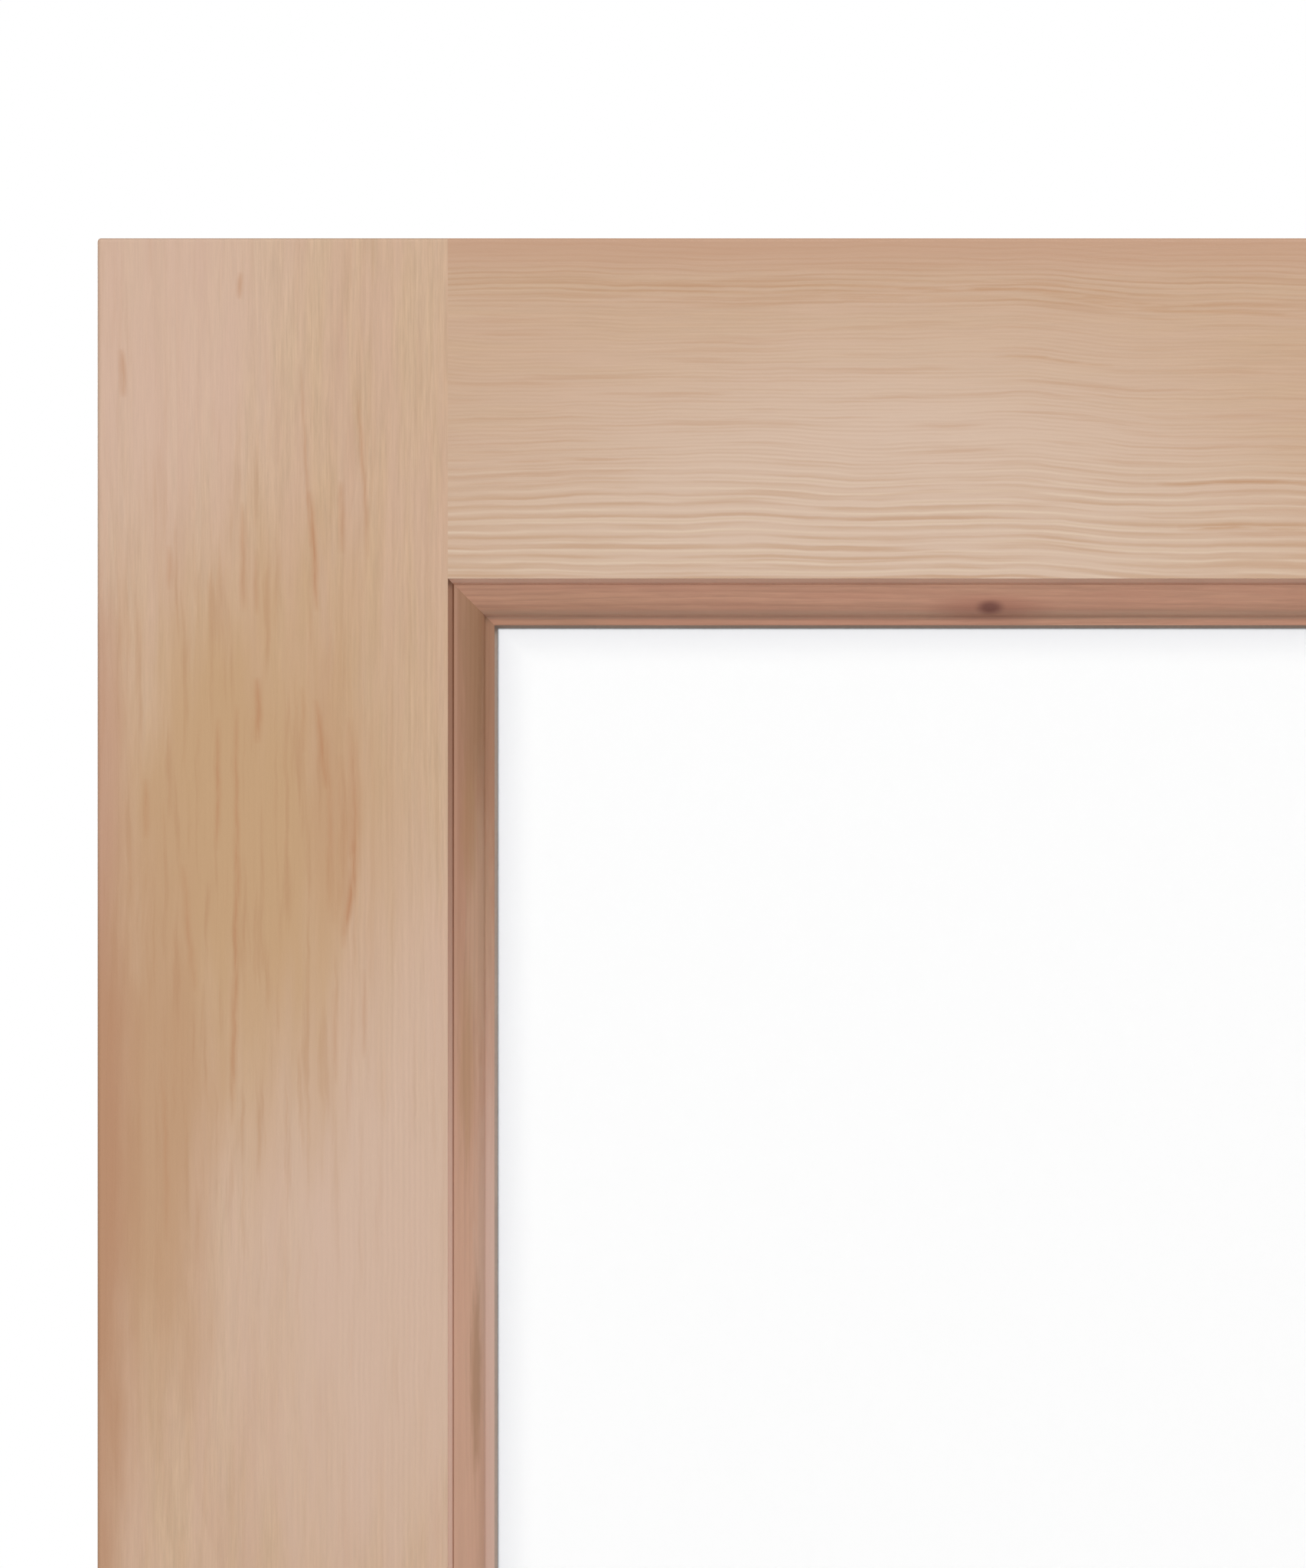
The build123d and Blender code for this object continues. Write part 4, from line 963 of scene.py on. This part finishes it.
def set_out_pieces(name, node, tree, values, finish, body):
    """Puts one tree's piece in place of each solid of a CAD node, as one plain mesh."""
    spots = [head_and_axis(points) for points in solids_of(node)]
    mesh = bpy.data.meshes.new(name + "_places")
    mesh.from_pydata([spot for spot, axis in spots], [], [])
    axes = mesh.attributes.new("axis", "FLOAT_VECTOR", "POINT")
    for place, (spot, axis) in zip(axes.data, spots):
        place.vector = axis
    piece = placed(name, mesh)
    modifier = piece.modifiers.new("shape", "NODES")
    modifier.node_group = tree
    for socket in tree.interface.items_tree:
        if socket.in_out == "INPUT" and socket.name != "Points":
            value = finish if socket.name == "Finish" else values[socket.name]
            modifier[socket.identifier] = value
    evaluated = piece.evaluated_get(bpy.context.evaluated_depsgraph_get())
    done = bpy.data.meshes.new_from_object(evaluated)
    piece.modifiers.clear()
    piece.data = done
    done.name = name
    cover(done, finish)
    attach(piece, body)
    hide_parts(node)
    return piece


def screw_values(head, head_depth, shank, length, pitch, **others):
    """The sizes of a countersunk wood screw in metres, from millimetres, with any that differ."""
    rows_per_turn = 6
    values = {
        "Head radius": head, "Head depth": head_depth, "Under head radius": shank,
        "Shank radius": shank, "Length": length, "Neck length": head_depth + 0.18 * length,
        "Thread pitch": pitch, "Thread height": 0.28 * shank, "Point length": 2.4 * shank,
        "Point radius": 0.05, "Socket radius": 0.56 * head, "Socket width": 0.26 * head,
        "Socket depth": 0.62 * head_depth,
    }
    values.update(others)
    values = {name: value * mm for name, value in values.items()}
    rows = int((length - head_depth) / pitch * rows_per_turn) + 5
    values.update({"Hexagon": False, "Sides": 24, "Rows": rows})
    return values


screw_tree = make_screw_tree()
hinge_screw = screw_values(head=4.3, head_depth=2.53, shank=2.1, length=22.0, pitch=1.7)
small_screw = screw_values(head=3.3, head_depth=1.95, shank=1.6, length=18.0, pitch=1.4)
frame_screw = screw_values(head=4.6, head_depth=2.53, shank=2.4, length=55.0, pitch=2.2)
for name, node, values, body in (
    ("hinge_jamb_wood_screws", "hinge_jamb_screws", hinge_screw, "frame"),
    ("hinge_leaf_wood_screws", "hinge_leaf_screws", hinge_screw, "door_leaf"),
    ("strike_wood_screws", "strike_screws", small_screw, "frame"),
    ("catch_wood_screws", "catch_screws", small_screw, "door_leaf"),
    ("frame_wood_screws", "frame_screws", frame_screw, "frame"),
):
    set_out_pieces(name, node, screw_tree, values, screw_steel, body)

handle_bolt = screw_values(
    head=5.4, head_depth=4.0, shank=3.0, length=136.4, pitch=1.25,
    **{
        "Under head radius": 5.4, "Neck length": 96.0, "Thread height": 0.6, "Point length": 1.2,
        "Point radius": 2.2, "Socket radius": 3.46, "Socket depth": 2.6,
    },
)
bolt_rows = 420
handle_bolt.update({"Hexagon": True, "Rows": bolt_rows})
set_out_pieces(
    "handle_cap_bolts", "handle_bolts", screw_tree, handle_bolt,
    screw_steel, "door_leaf",
)
insert_turns, insert_turn_rows = 8, 8
insert_values = {
    "Radius": 5.0 * mm, "Bore radius": 3.05 * mm, "Length": 14.0 * mm, "Thread pitch": 2.0 * mm,
    "Thread height": 0.9 * mm, "Bore thread height": 0.25 * mm, "Sides": 36,
    "Rows": 2 * insert_turns * insert_turn_rows + 3,
}
set_out_pieces(
    "handle_threaded_inserts", "handle_inserts", make_insert_tree(), insert_values,
    insert_brass, "door_leaf",
)
dowel_values = {
    "Radius": 6.35 * mm, "Length": 100.0 * mm, "Round": 1.0 * mm, "Flute depth": 0.5 * mm,
    "Flutes": 20, "Sides": 120,
}
set_out_pieces(
    "fluted_rail_dowels", "rail_dowels", make_dowel_tree(), dowel_values,
    dowel_beech, "door_leaf",
)

spring_tip, spring_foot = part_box("catch_spring")
coil_values = {
    "Coil radius": 3.6 * mm, "Wire radius": 0.5 * mm, "Length": spring_foot.y - spring_tip.y,
    "Turns": 6.0, "Steps": 36, "Sides": 12,
}
coil = set_out_pieces(
    "catch_coil_spring", "catch_spring", make_coil_tree(), coil_values,
    spring_steel, "door_leaf",
)
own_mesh(coil)


def white_to_view(name, strength):
    """White world light, and plain white where it is seen, in a mirror or through glass."""
    world = bpy.data.worlds.new(name)
    world.use_nodes = True
    sky = Nodes(world.node_tree)
    sky.tree.nodes.clear()
    light = sky.add("ShaderNodeBackground", {"Color": white, "Strength": strength})
    plain = sky.add("ShaderNodeBackground", {"Color": white})
    values = {0: sky.seen(), 1: light.outputs[0], 2: plain.outputs[0]}
    pick = sky.add("ShaderNodeMixShader", values)
    sky.add("ShaderNodeOutputWorld", {"Surface": pick.outputs[0]})
    bpy.context.scene.world = world


def soft_lamp(name, spot, aim, size, power):
    """A square area lamp that shines from one spot towards another."""
    light = bpy.data.lights.new(name, "AREA")
    light.size = size
    light.energy = power
    lamp = placed(name, light)
    lamp.location = spot
    lamp.rotation_mode = "QUATERNION"
    lamp.rotation_quaternion = (Vector(aim) - Vector(spot)).to_track_quat("-Z", "Y")


def pale_floor(half, near, far):
    """A wide pale floor under the sill, seen as plain white from the far distance on."""
    mesh = bpy.data.meshes.new("studio_floor")
    corners = [(-half, -half, 0.0), (half, -half, 0.0), (half, half, 0.0), (-half, half, 0.0)]
    mesh.from_pydata(corners, [], [(0, 1, 2, 3)])
    floor = placed("studio_floor", mesh)
    finish = Finish("pale floor", 0.8)
    cloud = finish.noise(finish.place, 2.0)
    finish.paint(finish.mix(cloud, colour(250, 250, 250), colour(246, 246, 246)))
    distance = finish.vector_sum("LENGTH", finish.place)
    share = finish.sum("MULTIPLY", finish.seen(), finish.rise(distance, near, far))
    plain = finish.add("ShaderNodeEmission")
    values = {0: share, 1: finish.shader.outputs[0], 2: plain.outputs[0]}
    pick = finish.add("ShaderNodeMixShader", values)
    output = finish.tree.nodes["Material Output"]
    finish.feed(output.inputs["Surface"], pick.outputs[0])
    mesh.materials.append(finish.material)


def photo_camera():
    """The photograph's view: straight at the open leaf's pull face, by its upper latch corner."""
    data = bpy.data.cameras.new("photo_camera")
    data.sensor_width = film_height
    data.lens = film_height * view_distance / view_height
    camera = placed("photo_camera", data)
    away = pull_face + view_distance * mm
    across = latch_edge + view_centre_across * mm
    camera.location = (away, across, leaf_top - view_centre_down * mm)
    camera.rotation_mode = "QUATERNION"
    camera.rotation_quaternion = Vector((-1.0, 0.0, 0.0)).to_track_quat("-Z", "Y")
    data.clip_start = 0.05
    data.clip_end = 100.0
    bpy.context.scene.camera = camera


white_to_view("studio white", strength=0.44)
middle = (cad_box[0] + cad_box[1]) / 2
soft_lamp("key lamp", (4.6, 0.8, 5.0), middle, size=2.6, power=158.0)
soft_lamp("fill lamp", (-4.5, -4.0, 3.2), middle, size=3.0, power=110.0)
soft_lamp("back lamp", (-2.0, 5.0, 3.6), middle, size=3.0, power=110.0)
pale_floor(half=60.0, near=2.5, far=8.0)
photo_camera()
bpy.context.scene.view_settings.view_transform = "Standard"
